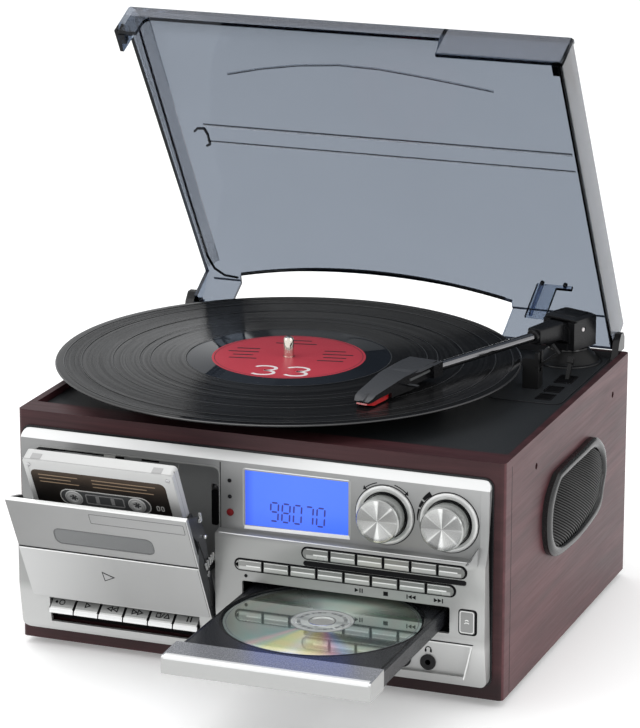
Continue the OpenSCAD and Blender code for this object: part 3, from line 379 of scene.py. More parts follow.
    # lit display
    m, nt, b = new_mat("lcd")
    t = nd(nt, "ShaderNodeTexCoord")
    sp = nd(nt, "ShaderNodeSeparateXYZ")
    nt.links.new(t.outputs["Object"], sp.inputs[0])
    gx = maprange(nt, sp.outputs[0], (155 - CX) / 1000, (224 - CX) / 1000, 0, 1)
    gz = maprange(nt, sp.outputs[2], 0.095, 0.131, 0, 1)
    cx_ = ramp(nt, gx, [(0.0, (0.030, 0.085, 0.80)), (0.10, (0.080, 0.195, 1.0)), (0.5, (0.088, 0.205, 1.0)),
                        (1.0, (0.082, 0.200, 1.0))])
    cz_ = ramp(nt, gz, [(0.0, (0.72, 0.80, 1.0)), (0.35, (0.95, 0.97, 1.0)), (1.0, (1.0, 1.0, 1.0))])
    c = mix(nt, 1.0, cx_, cz_, "MULTIPLY")
    nt.links.new(c, b.inputs["Emission Color"])
    setp(b, color=(0.02, 0.05, 0.22), rough=0.12, emit_s=0.92, spec=0.25)
    nt.links.new(maprange(nt, noise(nt, coords(nt), 800, 2), 0.3, 0.7, 0.10, 0.16), b.inputs["Roughness"])
    MATS["lcd"] = m
    # cassette label: brown, near black towards its lower half
    m, nt, b = new_mat("tape_label")
    t = nd(nt, "ShaderNodeTexCoord")
    sp = nd(nt, "ShaderNodeSeparateXYZ")
    nt.links.new(t.outputs["Object"], sp.inputs[0])
    g = ramp(nt, maprange(nt, sp.outputs[2], 0.108, 0.140, 0, 1), [
        (0.0, (0.012, 0.011, 0.011)), (0.35, (0.022, 0.018, 0.016)), (0.62, (0.060, 0.042, 0.030)),
        (1.0, (0.110, 0.075, 0.052))])
    c = mix(nt, maprange(nt, noise(nt, coords(nt), 60, 3), 0.3, 0.7, 0.0, 0.2), g, (0.05, 0.04, 0.03))
    nt.links.new(c, b.inputs["Base Color"])
    setp(b, rough=0.35, spec=0.3)
    nt.links.new(maprange(nt, noise(nt, coords(nt), 900, 2), 0.3, 0.7, 0.30, 0.42), b.inputs["Roughness"])
    MATS["tape_label"] = m
    # record label: printed paper
    m, nt, b = new_mat("paper_red")
    v = coords(nt)
    c = mix(nt, noise(nt, v, 40, 4), (0.43, 0.038, 0.058), (0.50, 0.050, 0.072))
    nt.links.new(c, b.inputs["Base Color"])
    setp(b, rough=0.40, spec=0.25)
    f = noise(nt, v, 1400, 3)
    nt.links.new(maprange(nt, f, 0.3, 0.7, 0.36, 0.5), b.inputs["Roughness"])
    bump(nt, b, f, 0.06, 0.0001)
    MATS["paper_red"] = m


build_materials()


def polar(nt, cx, cy, plane="xy"):
    """Distance and angle (-pi..pi) about an axis through (cx, cy) metres in the given plane."""
    t = nd(nt, "ShaderNodeTexCoord")
    sp = nd(nt, "ShaderNodeSeparateXYZ")
    nt.links.new(t.outputs["Object"], sp.inputs[0])
    i, j = {"xy": (0, 1), "xz": (0, 2), "yz": (1, 2)}[plane]
    u = math_(nt, "SUBTRACT", sp.outputs[i], cx)
    w = math_(nt, "SUBTRACT", sp.outputs[j], cy)
    r = math_(nt, "SQRT", math_(nt, "ADD", math_(nt, "MULTIPLY", u, u), math_(nt, "MULTIPLY", w, w)))
    a = math_(nt, "ARCTAN2", w, u)
    return r, a, sp


def vinyl_mat():
    """Pressed vinyl: fine grooves, smoother gaps between the tracks and round the label; painted sheen streaks in its
    colour, and a painted reflection lightening the run-out round the label.
    """
    m, nt, b = new_mat("vinyl")
    r, a, _ = polar(nt, (131 - CX) / 1000, (131.5 - CY) / 1000)
    setp(b, color=(0.006, 0.006, 0.0065), rough=0.10, ior=1.26, aniso=0.35)
    k = maprange(nt, r, 0.050, 0.151, 0, 1)
    W = (1, 1, 1)
    bands = ramp(nt, k, [
        (0.00, W), (0.165, W), (0.18, (0.15,) * 3), (0.375, (0.12,) * 3), (0.385, (0.9,) * 3),
        (0.398, (0.12,) * 3), (0.45, (0.10,) * 3), (0.46, (0.9,) * 3), (0.474, (0.12,) * 3),
        (0.615, (0.10,) * 3), (0.625, W), (0.640, (0.12,) * 3), (0.80, (0.10,) * 3),
        (0.815, (0.9,) * 3), (0.83, (0.12,) * 3), (0.925, (0.10,) * 3), (0.94, W), (1.0, W)])
    comb = nd(nt, "ShaderNodeCombineXYZ")
    nt.links.new(math_(nt, "MULTIPLY", r, 2600.0), comb.inputs[0])
    rn = noise(nt, comb.outputs[0], 1.0, 6, 0.75)
    comb2 = nd(nt, "ShaderNodeCombineXYZ")
    nt.links.new(math_(nt, "MULTIPLY", r, 420.0), comb2.inputs[0])
    rn2 = noise(nt, comb2.outputs[0], 1.0, 4, 0.6)
    flat = math_(nt, "SUBTRACT", 1.0, bands)
    h = math_(nt, "MULTIPLY", math_(nt, "ADD", rn, math_(nt, "MULTIPLY", rn2, 1.4)), flat)
    h = math_(nt, "ADD", h, math_(nt, "MULTIPLY", bands, 0.5))
    bump(nt, b, h, 0.30, 0.00022)
    comb3 = nd(nt, "ShaderNodeCombineXYZ")
    nt.links.new(math_(nt, "MULTIPLY", r, 560.0), comb3.inputs[0])
    nt.links.new(math_(nt, "MULTIPLY", a, 0.35), comb3.inputs[1])
    painted_sheen_streaks = noise(nt, comb3.outputs[0], 1.0, 5, 0.7)
    nt.links.new(maprange(nt, math_(nt, "MULTIPLY", math_(nt, "SUBTRACT", painted_sheen_streaks, 0.5), flat), -0.14, 0.14, 0.12, 0.95),
                 b.inputs["Specular IOR Level"])
    gl = maprange(nt, bands, 0.0, 1.0, 0.16, 0.05)
    nt.links.new(gl, b.inputs["Roughness"])
    # painted sheen: the base colour streaked lighter and darker
    c = mix(nt, maprange(nt, painted_sheen_streaks, 0.38, 0.64, 0.0, 1.0), (0.0035, 0.0035, 0.004), (0.0165, 0.0168, 0.0170))
    # painted reflection: the run-out round the label lighter and blue-grey
    painted_reflection_runout = maprange(nt, k, 0.165, 0.172, 1.0, 0.0)
    c = mix(nt, painted_reflection_runout, c, (0.0115, 0.0145, 0.0195))
    nt.links.new(c, b.inputs["Base Color"])
    tg = nd(nt, "ShaderNodeTangent", direction_type="RADIAL", axis="Z")
    nt.links.new(tg.outputs[0], b.inputs["Tangent"])
    MATS["vinyl"] = m


vinyl_mat()


def disc_mat():
    """Mirror-bright disc with painted coloured spokes of diffraction by angle and radius, and painted darker sectors
    through its metalness by angle.
    """
    m, nt, b = new_mat("disc")
    r, a, _ = polar(nt, (222.5 - CX) / 1000, (-46 - CY) / 1000)
    f = maprange(nt, a, -math.pi, math.pi, 0, 1)
    w = (0.50, 0.56, 0.52)
    c = ramp(nt, f, [(0.0, w), (0.10, (0.50, 0.58, 0.56)), (0.155, (0.38, 0.58, 0.58)), (0.172, (0.86, 0.62, 0.66)),
                     (0.188, (0.55, 0.74, 0.60)), (0.205, (0.90, 0.90, 0.42)), (0.23, (1.0, 0.96, 0.50)), (0.255, (1.0, 0.99, 0.86)),
                     (0.28, (0.98, 0.90, 0.48)), (0.305, (0.90, 0.70, 0.45)), (0.325, (0.88, 0.50, 0.66)), (0.345, (0.45, 0.58, 0.90)),
                     (0.37, (0.58, 0.66, 0.54)), (0.42, (0.42, 0.50, 0.52)), (0.50, (0.36, 0.45, 0.43)),
                     (0.62, (0.52, 0.60, 0.54)), (0.69, (0.86, 0.95, 0.84)), (0.76, (0.82, 0.98, 0.90)),
                     (0.83, (0.66, 0.74, 0.72)), (0.93, (0.54, 0.58, 0.53)), (1.0, w)])
    rr = ramp(nt, maprange(nt, r, 0.020, 0.060, 0, 1), [
        (0.0, (0.92, 0.95, 0.94)), (0.25, (1.0, 0.98, 0.96)), (0.42, (0.86, 1.0, 0.96)),
        (0.60, (1.0, 0.93, 0.90)), (0.75, (0.90, 1.0, 0.92)), (0.88, (1.0, 0.97, 0.86)), (1.0, (0.92, 0.98, 1.0))])
    c = mix(nt, 0.85, c, rr, "MULTIPLY")
    hub = maprange(nt, r, 0.0190, 0.0192, 0.0, 1.0)
    c = mix(nt, hub, (0.50, 0.53, 0.51), c)
    nt.links.new(c, b.inputs["Base Color"])
    setp(b, rough=0.06, metal=1.0, coat=0.6, coat_rough=0.02)
    met = ramp(nt, f, [(q_, (v_,) * 3) for q_, v_ in ((0.0, 0.86), (0.14, 0.86), (0.20, 0.72), (0.31, 0.72), (0.38, 0.86), (0.58, 0.86),
                                                      (0.67, 0.40), (0.80, 0.40), (0.90, 0.86), (1.0, 0.86))])
    nt.links.new(mix(nt, hub, (0.35, 0.35, 0.35), met), b.inputs["Metallic"])
    comb = nd(nt, "ShaderNodeCombineXYZ")
    nt.links.new(math_(nt, "MULTIPLY", r, 3000.0), comb.inputs[0])
    nt.links.new(maprange(nt, noise(nt, comb.outputs[0], 1.0, 3), 0.3, 0.7, 0.04, 0.09), b.inputs["Roughness"])
    MATS["disc"] = m


disc_mat()


def spun_mat(name, cx, cz, base=(0.78, 0.79, 0.78)):
    """Spun aluminium knob face: radial sectors of light about the knob's axis."""
    m, nt, b = new_mat(name)
    r, a, _ = polar(nt, (cx - CX) / 1000, cz / 1000, "xz")
    f = maprange(nt, a, -math.pi, math.pi, 0, 1)

    def g(x):
        return (x,) * 3
    c = ramp(nt, f, [(0.0, g(.36)), (0.01, g(.50)), (0.10, g(.60)), (0.122, g(.98)), (0.136, g(.40)), (0.215, g(.32)),
                     (0.236, g(1.0)), (0.262, g(1.0)), (0.280, g(.66)), (0.375, g(.60)), (0.390, g(.92)), (0.405, g(.54)),
                     (0.49, g(.50)), (0.505, g(.62)), (0.52, g(.40)), (0.61, g(.34)), (0.626, g(.98)), (0.64, g(.44)),
                     (0.735, g(.34)), (0.748, g(1.0)), (0.77, g(1.0)), (0.785, g(.66)), (0.88, g(.58)), (0.892, g(.74)),
                     (0.905, g(.40)), (1.0, g(.36))])
    c = mix(nt, 1.0, c, base, "MULTIPLY")
    nt.links.new(c, b.inputs["Base Color"])
    setp(b, rough=0.26, metal=0.85, aniso=0.6)
    tg = nd(nt, "ShaderNodeTangent", direction_type="RADIAL", axis="Y")
    nt.links.new(tg.outputs[0], b.inputs["Tangent"])
    MATS[name] = m


spun_mat("spun_tuning", 247.4, 112.2)
spun_mat("spun_volume", 288.4, 112.2)


# ---------------------------------------------------------- CAD node finish
def finish_node(name, mat, bevel=0.0, seg=2, angle=35, smooth=30):
    o = NODES[name]
    me = o.data
    for a in ("custom_normal", "sharp_face"):
        at = me.attributes.get(a)
        if at is not None:
            me.attributes.remove(at)
    me.materials.clear()
    for mm in (mat if isinstance(mat, (list, tuple)) else [mat]):
        me.materials.append(MATS[mm])
    for p in me.polygons:
        p.use_smooth = True
        p.material_index = 0
    me.set_sharp_from_angle(angle=rad(smooth))
    w = o.modifiers.new("weld", "WELD")
    w.merge_threshold = 0.00001
    if bevel:
        bv = o.modifiers.new("bevel", "BEVEL")
        bv.width = bevel / 1000
        bv.segments = seg
        bv.limit_method = "ANGLE"
        bv.angle_limit = rad(angle)
        bv.harden_normals = True
    return o


PLAN = {
    "cabinet": (["wood_x", "wood_y_painted_light", "dark_grey"], 0.5), "feet": ("rubber", 0.3),
    "rear_panel": ("hardboard", 0.3), "deck_plate": ("deck_black", 0.4),
    "front_panel": (["silver", "silver_painted_light", "void_black"], 0.25),
    "display_module": (["frame_grey", "lcd", "black_gloss", "led_red"], 0.15), "knob_rings": ("ring_chrome", 0.1),
    "circuit_boards": ("board", 0.0), "speaker_grilles": ("black", 0.0),
    "speaker_drivers": ("cone", 0.2), "turntable_motor": ("steel", 0.2), "drive_belt": ("rubber", 0.0),
    "spindle": ("spindle_metal", 0.1), "hinge_brackets": ("black_gloss", 0.3), "arm_base": ("base_black", 0.5),
    "cassette_mechanism": (["well_grey", "steel", "hub_white"], 0.2), "disc_mechanism": ("dark_grey", 0.2),
    "sockets": ("black_gloss", 0.15), "screws": ("screw_black", 0.2),
    "dust_cover": (["smoke", "smoke_edge"], 0.3),
    "platter": ("platter_black", 0.3), "record": ("vinyl", 0.0), "motor_pulley": ("brass", 0.1),
    "arm_yoke": ("black", 0.9), "arm_tube": (["tube_metal", "black"], 0.2), "headshell": (["black_gloss", "head_top_painted_light"], 0.5),
    "stylus": ("red_clear", 0.2), "cue_lever": ("base_black", 0.3), "arm_clip": ("base_black", 0.2),
    "autostop_switch": ("black_gloss", 0.15), "speed_switch": ("black_gloss", 0.15),
    "cassette_door": (["door_upper_painted_shade", "door_lower_painted_light", "dark_grey", "door_window", "silver_marks_and_painted_highlights"], 0.3),
    "cassette": ("white_plastic", 0.5),
    "damper_pinion": ("dark_grey", 0.0), "disc_tray": ("tray_black", 0.3),
    "tray_front": (["silver_tray", "silver_painted_light", "tray_top"], 0.35),
    "compact_disc": ("disc", 0.08), "tuning_knob": (["knob_side", "spun_tuning"], 0.12),
    "volume_knob": (["knob_side", "spun_volume"], 0.12), "eject_button": (["key_face_painted_shade", "black"], 0.3),
}
for k in ("record", "play", "rewind", "forward", "stop", "pause"):
    PLAN["key_" + k] = (["key_face_painted_shade", "silver_painted_light", "black"], 0.35)
for i in range(6):
    PLAN[f"function_button_{i+1}"] = (["silver_button", "black", "silver_marks_and_painted_highlights"], 0.15)
for i in range(8):
    PLAN[f"transport_button_{i+1}"] = (["silver_button", "black", "silver_marks_and_painted_highlights"], 0.15)
for n, (mt, bv) in PLAN.items():
    finish_node(n, mt, bv)


# ------------------------------------------------- poses of the moving parts
def turn(y, z, cy, cz, deg):
    c, s = math.cos(rad(deg)), math.sin(rad(deg))
    return cy + (y - cy) * c - (z - cz) * s, cz + (y - cy) * s + (z - cz) * c


def T_door(x, y, z):
    """Point of the closed cassette door, in the place where it stands open."""
    return (x, *turn(y, z, -7, 34, 27))


def T_lid(x, y, z):
    """Point of the closed cover, in the place where it stands open."""
    return (x, *turn(y, z, 262.5, 157, -59))


def T_arm(x, y, z):
    """Point beside the arm pivot, forward being -Y, turned to where the arm stands."""
    c, s = math.cos(rad(21.5)), math.sin(rad(21.5))
    return 286 + x * c + y * s, 242 - x * s + y * c, z


def T_head(x, y, z):
    c, s = math.cos(rad(10)), math.sin(rad(10))
    return 227.4 + x * c + y * s, 113.5 - x * s + y * c, z


def T_key(x, v, w):
    """On the sloping face of a cassette key: v up the slope, w out of the face."""
    k = math.hypot(7.0, 5.6)
    return x, -12.2 + v * 7.0 / k - w * 5.6 / k, 26.4 + v * 5.6 / k + w * 7.0 / k


def same(x, y, z):
    return x, y, z


def assign(node, test):
    """Sets each face's material slot by test(centre in cabinet mm, normal, face)."""
    me = NODES[node].data
    for p in me.polygons:
        c = p.center
        p.material_index = test(c.x * 1000 + CX, c.y * 1000 + CY, c.z * 1000, p.normal)


# the sides take the veneer's lighter copy, painted light
assign("cabinet", lambda x, y, z, n: 2 if ((9 <= x <= 313 and 8.9 <= y <= 257 and z < 141) or (n.y < -0.5 and y > 200 and 9 <= x <= 313)) else (1 if abs(n.x) > 0.7 else 0))
# the fascia's top chamfer takes the painted highlight
assign("front_panel", lambda x, y, z, n: 2 if (n.y > 0.5 or y > -2.3) and not z > 134 else (1 if z > 134.2 else 0))
assign("cassette_mechanism", lambda x, y, z, n: (2 if abs(x - 54.25) < 3 or abs(x - 96.75) < 3 else 0) if y < 16.6 and 33 < z < 132 else 1)
assign("display_module", lambda x, y, z, n: 1 if (x > 150 and n.y < -0.8 and y > -4.2) else (0 if x > 150 else (3 if z < 106 else 2)))
for kn in ("tuning_knob", "volume_knob"):
    assign(kn, lambda x, y, z, n: 1 if n.y < -0.8 else 0)
# the tray front's sloping top edge takes the painted highlight
assign("tray_front", lambda x, y, z, n: 2 if n.z > 0.9 else (1 if (z > 57 and n.z > 0.3) else 0))
assign("eject_button", lambda x, y, z, n: 0 if n.y < -0.2 else 1)


def door_slot(x, y, z, n):
    yy, zz = turn(y, z, -7, 34, -27)
    ny = n.y * math.cos(rad(27)) + n.z * math.sin(rad(27))
    if ny < -0.7 and -11 < yy < -10.2 and 41 < x < 110 and 86 < zz < 101:
        return 3
    if yy < -11.9 or (yy < -9.7 and abs(n.x) > 0.7):
        return 0 if zz > 79 else 1
    return 2


assign("cassette_door", door_slot)
# each key's sloping face takes painted shade and its front below painted light
for i, k in enumerate(("record", "play", "rewind", "forward", "stop", "pause")):
    assign("key_" + k, lambda x, y, z, n: 2 if (abs(n.x) > 0.7 or y > -4.9) else (1 if (z < 26.5 and n.y < -0.5) else 0))
for row, cnt in (("function_button_", 6), ("transport_button_", 8)):
    for i in range(cnt):
        assign(f"{row}{i+1}", lambda x, y, z, n: 0 if n.y < -0.5 else 1)


def arm_slot(x, y, z, n):
    c, s = math.cos(rad(21.5)), math.sin(rad(21.5))
    ly = (x - 286) * s + (y - 242) * c
    return 1 if ly > -36.2 else 0


assign("arm_tube", arm_slot)
# top-facing faces of the headshell take the lighter copy, painted light
assign("headshell", lambda x, y, z, n: 1 if n.z > 0.6 else 0)


def thin_faces(node, limit, slot):
    """Flat regions that are only narrow strips are the cut edges of a sheet: they get their own finish."""
    me = NODES[node].data
    key = {}
    vid = [key.setdefault(tuple(round(c, 6) for c in v.co), len(key)) for v in me.vertices]
    byedge = {}
    for p in me.polygons:
        vs = [vid[i] for i in p.vertices]
        for i in range(len(vs)):
            byedge.setdefault(frozenset((vs[i - 1], vs[i])), []).append(p.index)
    root = list(range(len(me.polygons)))

    def find(i):
        while root[i] != i:
            root[i] = root[root[i]]
            i = root[i]
        return i
    nrm = [p.normal.copy() for p in me.polygons]
    for e, ps in byedge.items():
        if len(ps) == 2 and nrm[ps[0]].dot(nrm[ps[1]]) > 0.9995:
            root[find(ps[0])] = find(ps[1])
    area, rim = {}, {}
    for p in me.polygons:
        r = find(p.index)
        area[r] = area.get(r, 0.0) + p.area
    pos = {i: Vector(c) for c, i in key.items()}
    for e, ps in byedge.items():
        if len(ps) == 2 and find(ps[0]) == find(ps[1]):
            continue
        a_, b_ = tuple(e) if len(e) == 2 else (next(iter(e)),) * 2
        ln = (pos[a_] - pos[b_]).length
        for q in ps:
            rim[find(q)] = rim.get(find(q), 0.0) + ln
    for p in me.polygons:
        r = find(p.index)
        if rim.get(r, 0) > 0 and 2 * area[r] / rim[r] * 1000 < limit:
            p.material_index = slot


thin_faces("dust_cover", 2.75, 1)


# ------------------------------------------------------------ mesh building
def rr(x0, x1, z0, z1, r, n=6):
    """Rounded rectangle as a loop of points."""
    out = []
    for cx, cz, a in ((x1 - r, z1 - r, 0), (x0 + r, z1 - r, 90), (x0 + r, z0 + r, 180), (x1 - r, z0 + r, 270)):
        for i in range(n + 1):
            t = rad(a + 90 * i / n)
            out.append((cx + r * math.cos(t), cz + r * math.sin(t)))
    return out


def circle(cx, cz, r, n=32):
    return [(cx + r * math.cos(2 * math.pi * i / n), cz + r * math.sin(2 * math.pi * i / n)) for i in range(n)]


def arc(cx, cz, r, a0, a1, n=16):
    return [(cx + r * math.cos(rad(a0 + (a1 - a0) * i / n)), cz + r * math.sin(rad(a0 + (a1 - a0) * i / n)))
            for i in range(n + 1)]


def shrink(loop, k):
    """Loop moved inwards by k along its corner bisectors (loop counter-clockwise)."""
    out = []
    n = len(loop)
    for i in range(n):
        a, b, c = Vector(loop[i - 1]), Vector(loop[i]), Vector(loop[(i + 1) % n])
        d1, d2 = (b - a), (c - b)
        if d1.length < 1e-9 or d2.length < 1e-9:
            out.append(tuple(b))
            continue
        d1.normalize()
        d2.normalize()
        n1, n2 = Vector((-d1.y, d1.x)), Vector((-d2.y, d2.x))
        m = (n1 + n2)
        if m.length < 1e-6:
            m = n1
        m.normalize()
        out.append(tuple(b + m * (k / max(0.35, m.dot(n1)))))
    return out


class Piece:
    """Collects closed shells, in cabinet millimetres, into one object."""

    def __init__(self, name, body, slot, tf=same):
        self.name, self.body, self.slot, self.tf = name, body, slot, tf
        self.bm = bmesh.new()
        self.mats = []

    def mi(self, m):
        if m not in self.mats:
            self.mats.append(m)
        return self.mats.index(m)

    def v(self, p):
        return self.bm.verts.new(M(*self.tf(*p)))

    def f(self, vs, k):
        try:
            fc = self.bm.faces.new(vs)
        except ValueError:
            return
        fc.material_index = k

    @staticmethod
    def place(ax, u, w, t):
        return {"y": (u, t, w), "x": (t, u, w), "z": (u, w, t)}[ax]

    def prism(self, loop, ax, a, b, mat, top=None):
        """Extrudes a loop from a to b; top is the loop at b where it differs."""
        k = self.mi(mat)
        top = top or loop
        A = [self.v(self.place(ax, u, w, a)) for u, w in loop]
        B = [self.v(self.place(ax, u, w, b)) for u, w in top]
        n = len(A)
        for i in range(n):
            self.f([A[i], A[(i + 1) % n], B[(i + 1) % n], B[i]], k)
        self.f(A[::-1], k)
        self.f(B, k)
        return self

    def ring(self, outer, inner, ax, a, b, mat):
        """Frame between two loops with the same number of points."""
        k = self.mi(mat)
        n = len(outer)
        L = [[self.v(self.place(ax, u, w, t)) for u, w in lp] for lp in (outer, inner) for t in (a, b)]
        oa, ob, ia, ib = L
        for i in range(n):
            j = (i + 1) % n
            for q in ((oa[i], oa[j], ob[j], ob[i]), (ia[j], ia[i], ib[i], ib[j]),
                      (ob[i], ob[j], ib[j], ib[i]), (oa[j], oa[i], ia[i], ia[j])):
                self.f(list(q), k)
        return self

    def ribbon(self, pts, w, ax, a, b, mat, w1=None, closed=False):
        """Flat stroke of width w along 2D points, w1 wide at its end."""
        P = [Vector(p) for p in pts]
        n = len(P)
        left, right = [], []
        for i in range(n):
            if closed:
                d1, d2 = P[i] - P[i - 1], P[(i + 1) % n] - P[i]
            else:
                d1 = P[i] - P[i - 1] if i else P[1] - P[0]
                d2 = P[i + 1] - P[i] if i < n - 1 else d1
            d1 = d1.normalized()
            d2 = d2.normalized()
            n1 = Vector((-d1.y, d1.x))
            m = (n1 + Vector((-d2.y, d2.x)))
            m = m.normalized() if m.length > 1e-6 else n1
            h = (w if w1 is None else w + (w1 - w) * i / (n - 1)) / 2 / max(0.4, m.dot(n1))
            left.append(tuple(P[i] + m * h))
            right.append(tuple(P[i] - m * h))
        if closed:
            return self.ring(left, right, ax, a, b, mat)
        k = self.mi(mat)
        Q = [[self.v(self.place(ax, u, ww, t)) for u, ww in lp] for lp in (left, right) for t in (a, b)]
        la, lb, ra, rb = Q
        for i in range(n - 1):
            for q in ((la[i], la[i + 1], lb[i + 1], lb[i]), (ra[i + 1], ra[i], rb[i], rb[i + 1]),
                      (lb[i], lb[i + 1], rb[i + 1], rb[i]), (la[i + 1], la[i], ra[i], ra[i + 1])):
                self.f(list(q), k)
        self.f([la[0], lb[0], rb[0], ra[0]], k)
        self.f([la[-1], ra[-1], rb[-1], lb[-1]], k)
        return self

    def box(self, lo, hi, mat):
        return self.prism([(lo[0], lo[2]), (hi[0], lo[2]), (hi[0], hi[2]), (lo[0], hi[2])], "y", lo[1], hi[1], mat)

    def lathe(self, prof, c, ax, mat, n=48):
        """Turns (radius, height) points about the axis through c; height runs along the axis."""
        k = self.mi(mat)
        rings = []
        for r, h in prof:
            row = []
            for i in range(n if r > 1e-6 else 1):
                t = 2 * math.pi * i / n
                u, w = r * math.cos(t), r * math.sin(t)
                p = {"y": (c[0] + u, c[1] + h, c[2] + w), "x": (c[0] + h, c[1] + u, c[2] + w),
                     "z": (c[0] + u, c[1] + w, c[2] + h)}[ax]
                row.append(self.v(p))
            rings.append(row)
        for A, B in zip(rings, rings[1:]):
            for i in range(n):
                j = (i + 1) % n
                if len(A) == 1 and len(B) == 1:
                    continue
                if len(A) == 1:
                    self.f([A[0], B[i], B[j]], k)
                elif len(B) == 1:
                    self.f([A[i], A[j], B[0]], k)
                else:
                    self.f([A[i], A[j], B[j], B[i]], k)
        return self

    def tube(self, pts, r, mat, n=10):
        """Round bar along 3D points."""
        k = self.mi(mat)
        P = [Vector(p) for p in pts]
        up = Vector((0.13, 0.29, 0.95))
        rows = []
        for i, p in enumerate(P):
            d = (P[min(i + 1, len(P) - 1)] - P[max(i - 1, 0)]).normalized()
            s = d.cross(up).normalized()
            u = s.cross(d).normalized()
            up = u
            rows.append([self.v(tuple(p + s * (r * math.cos(2 * math.pi * j / n)) + u * (r * math.sin(2 * math.pi * j / n))))
                         for j in range(n)])
        for A, B in zip(rows, rows[1:]):
            for j in range(n):
                self.f([A[j], A[(j + 1) % n], B[(j + 1) % n], B[j]], k)
        self.f(rows[0][::-1], k)
        self.f(rows[-1], k)
        return self

    def done(self, bevel=0.0, seg=2, smooth=32, replaces=None):
        bmesh.ops.recalc_face_normals(self.bm, faces=self.bm.faces)
        me = bpy.data.meshes.new(self.name)
        self.bm.to_mesh(me)
        self.bm.free()
        for m in self.mats:
            me.materials.append(MATS[m])
        for p in me.polygons:
            p.use_smooth = True
        me.set_sharp_from_angle(angle=rad(smooth))
        o = bpy.data.objects.new(self.name, me)
        bpy.context.scene.collection.objects.link(o)
        if bevel:
            bv = o.modifiers.new("bevel", "BEVEL")
            bv.width = bevel / 1000
            bv.segments = seg
            bv.limit_method = "ANGLE"
            bv.angle_limit = rad(35)
            bv.harden_normals = True
        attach(o, self.body)
        if replaces:
            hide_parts(*replaces)
        return o


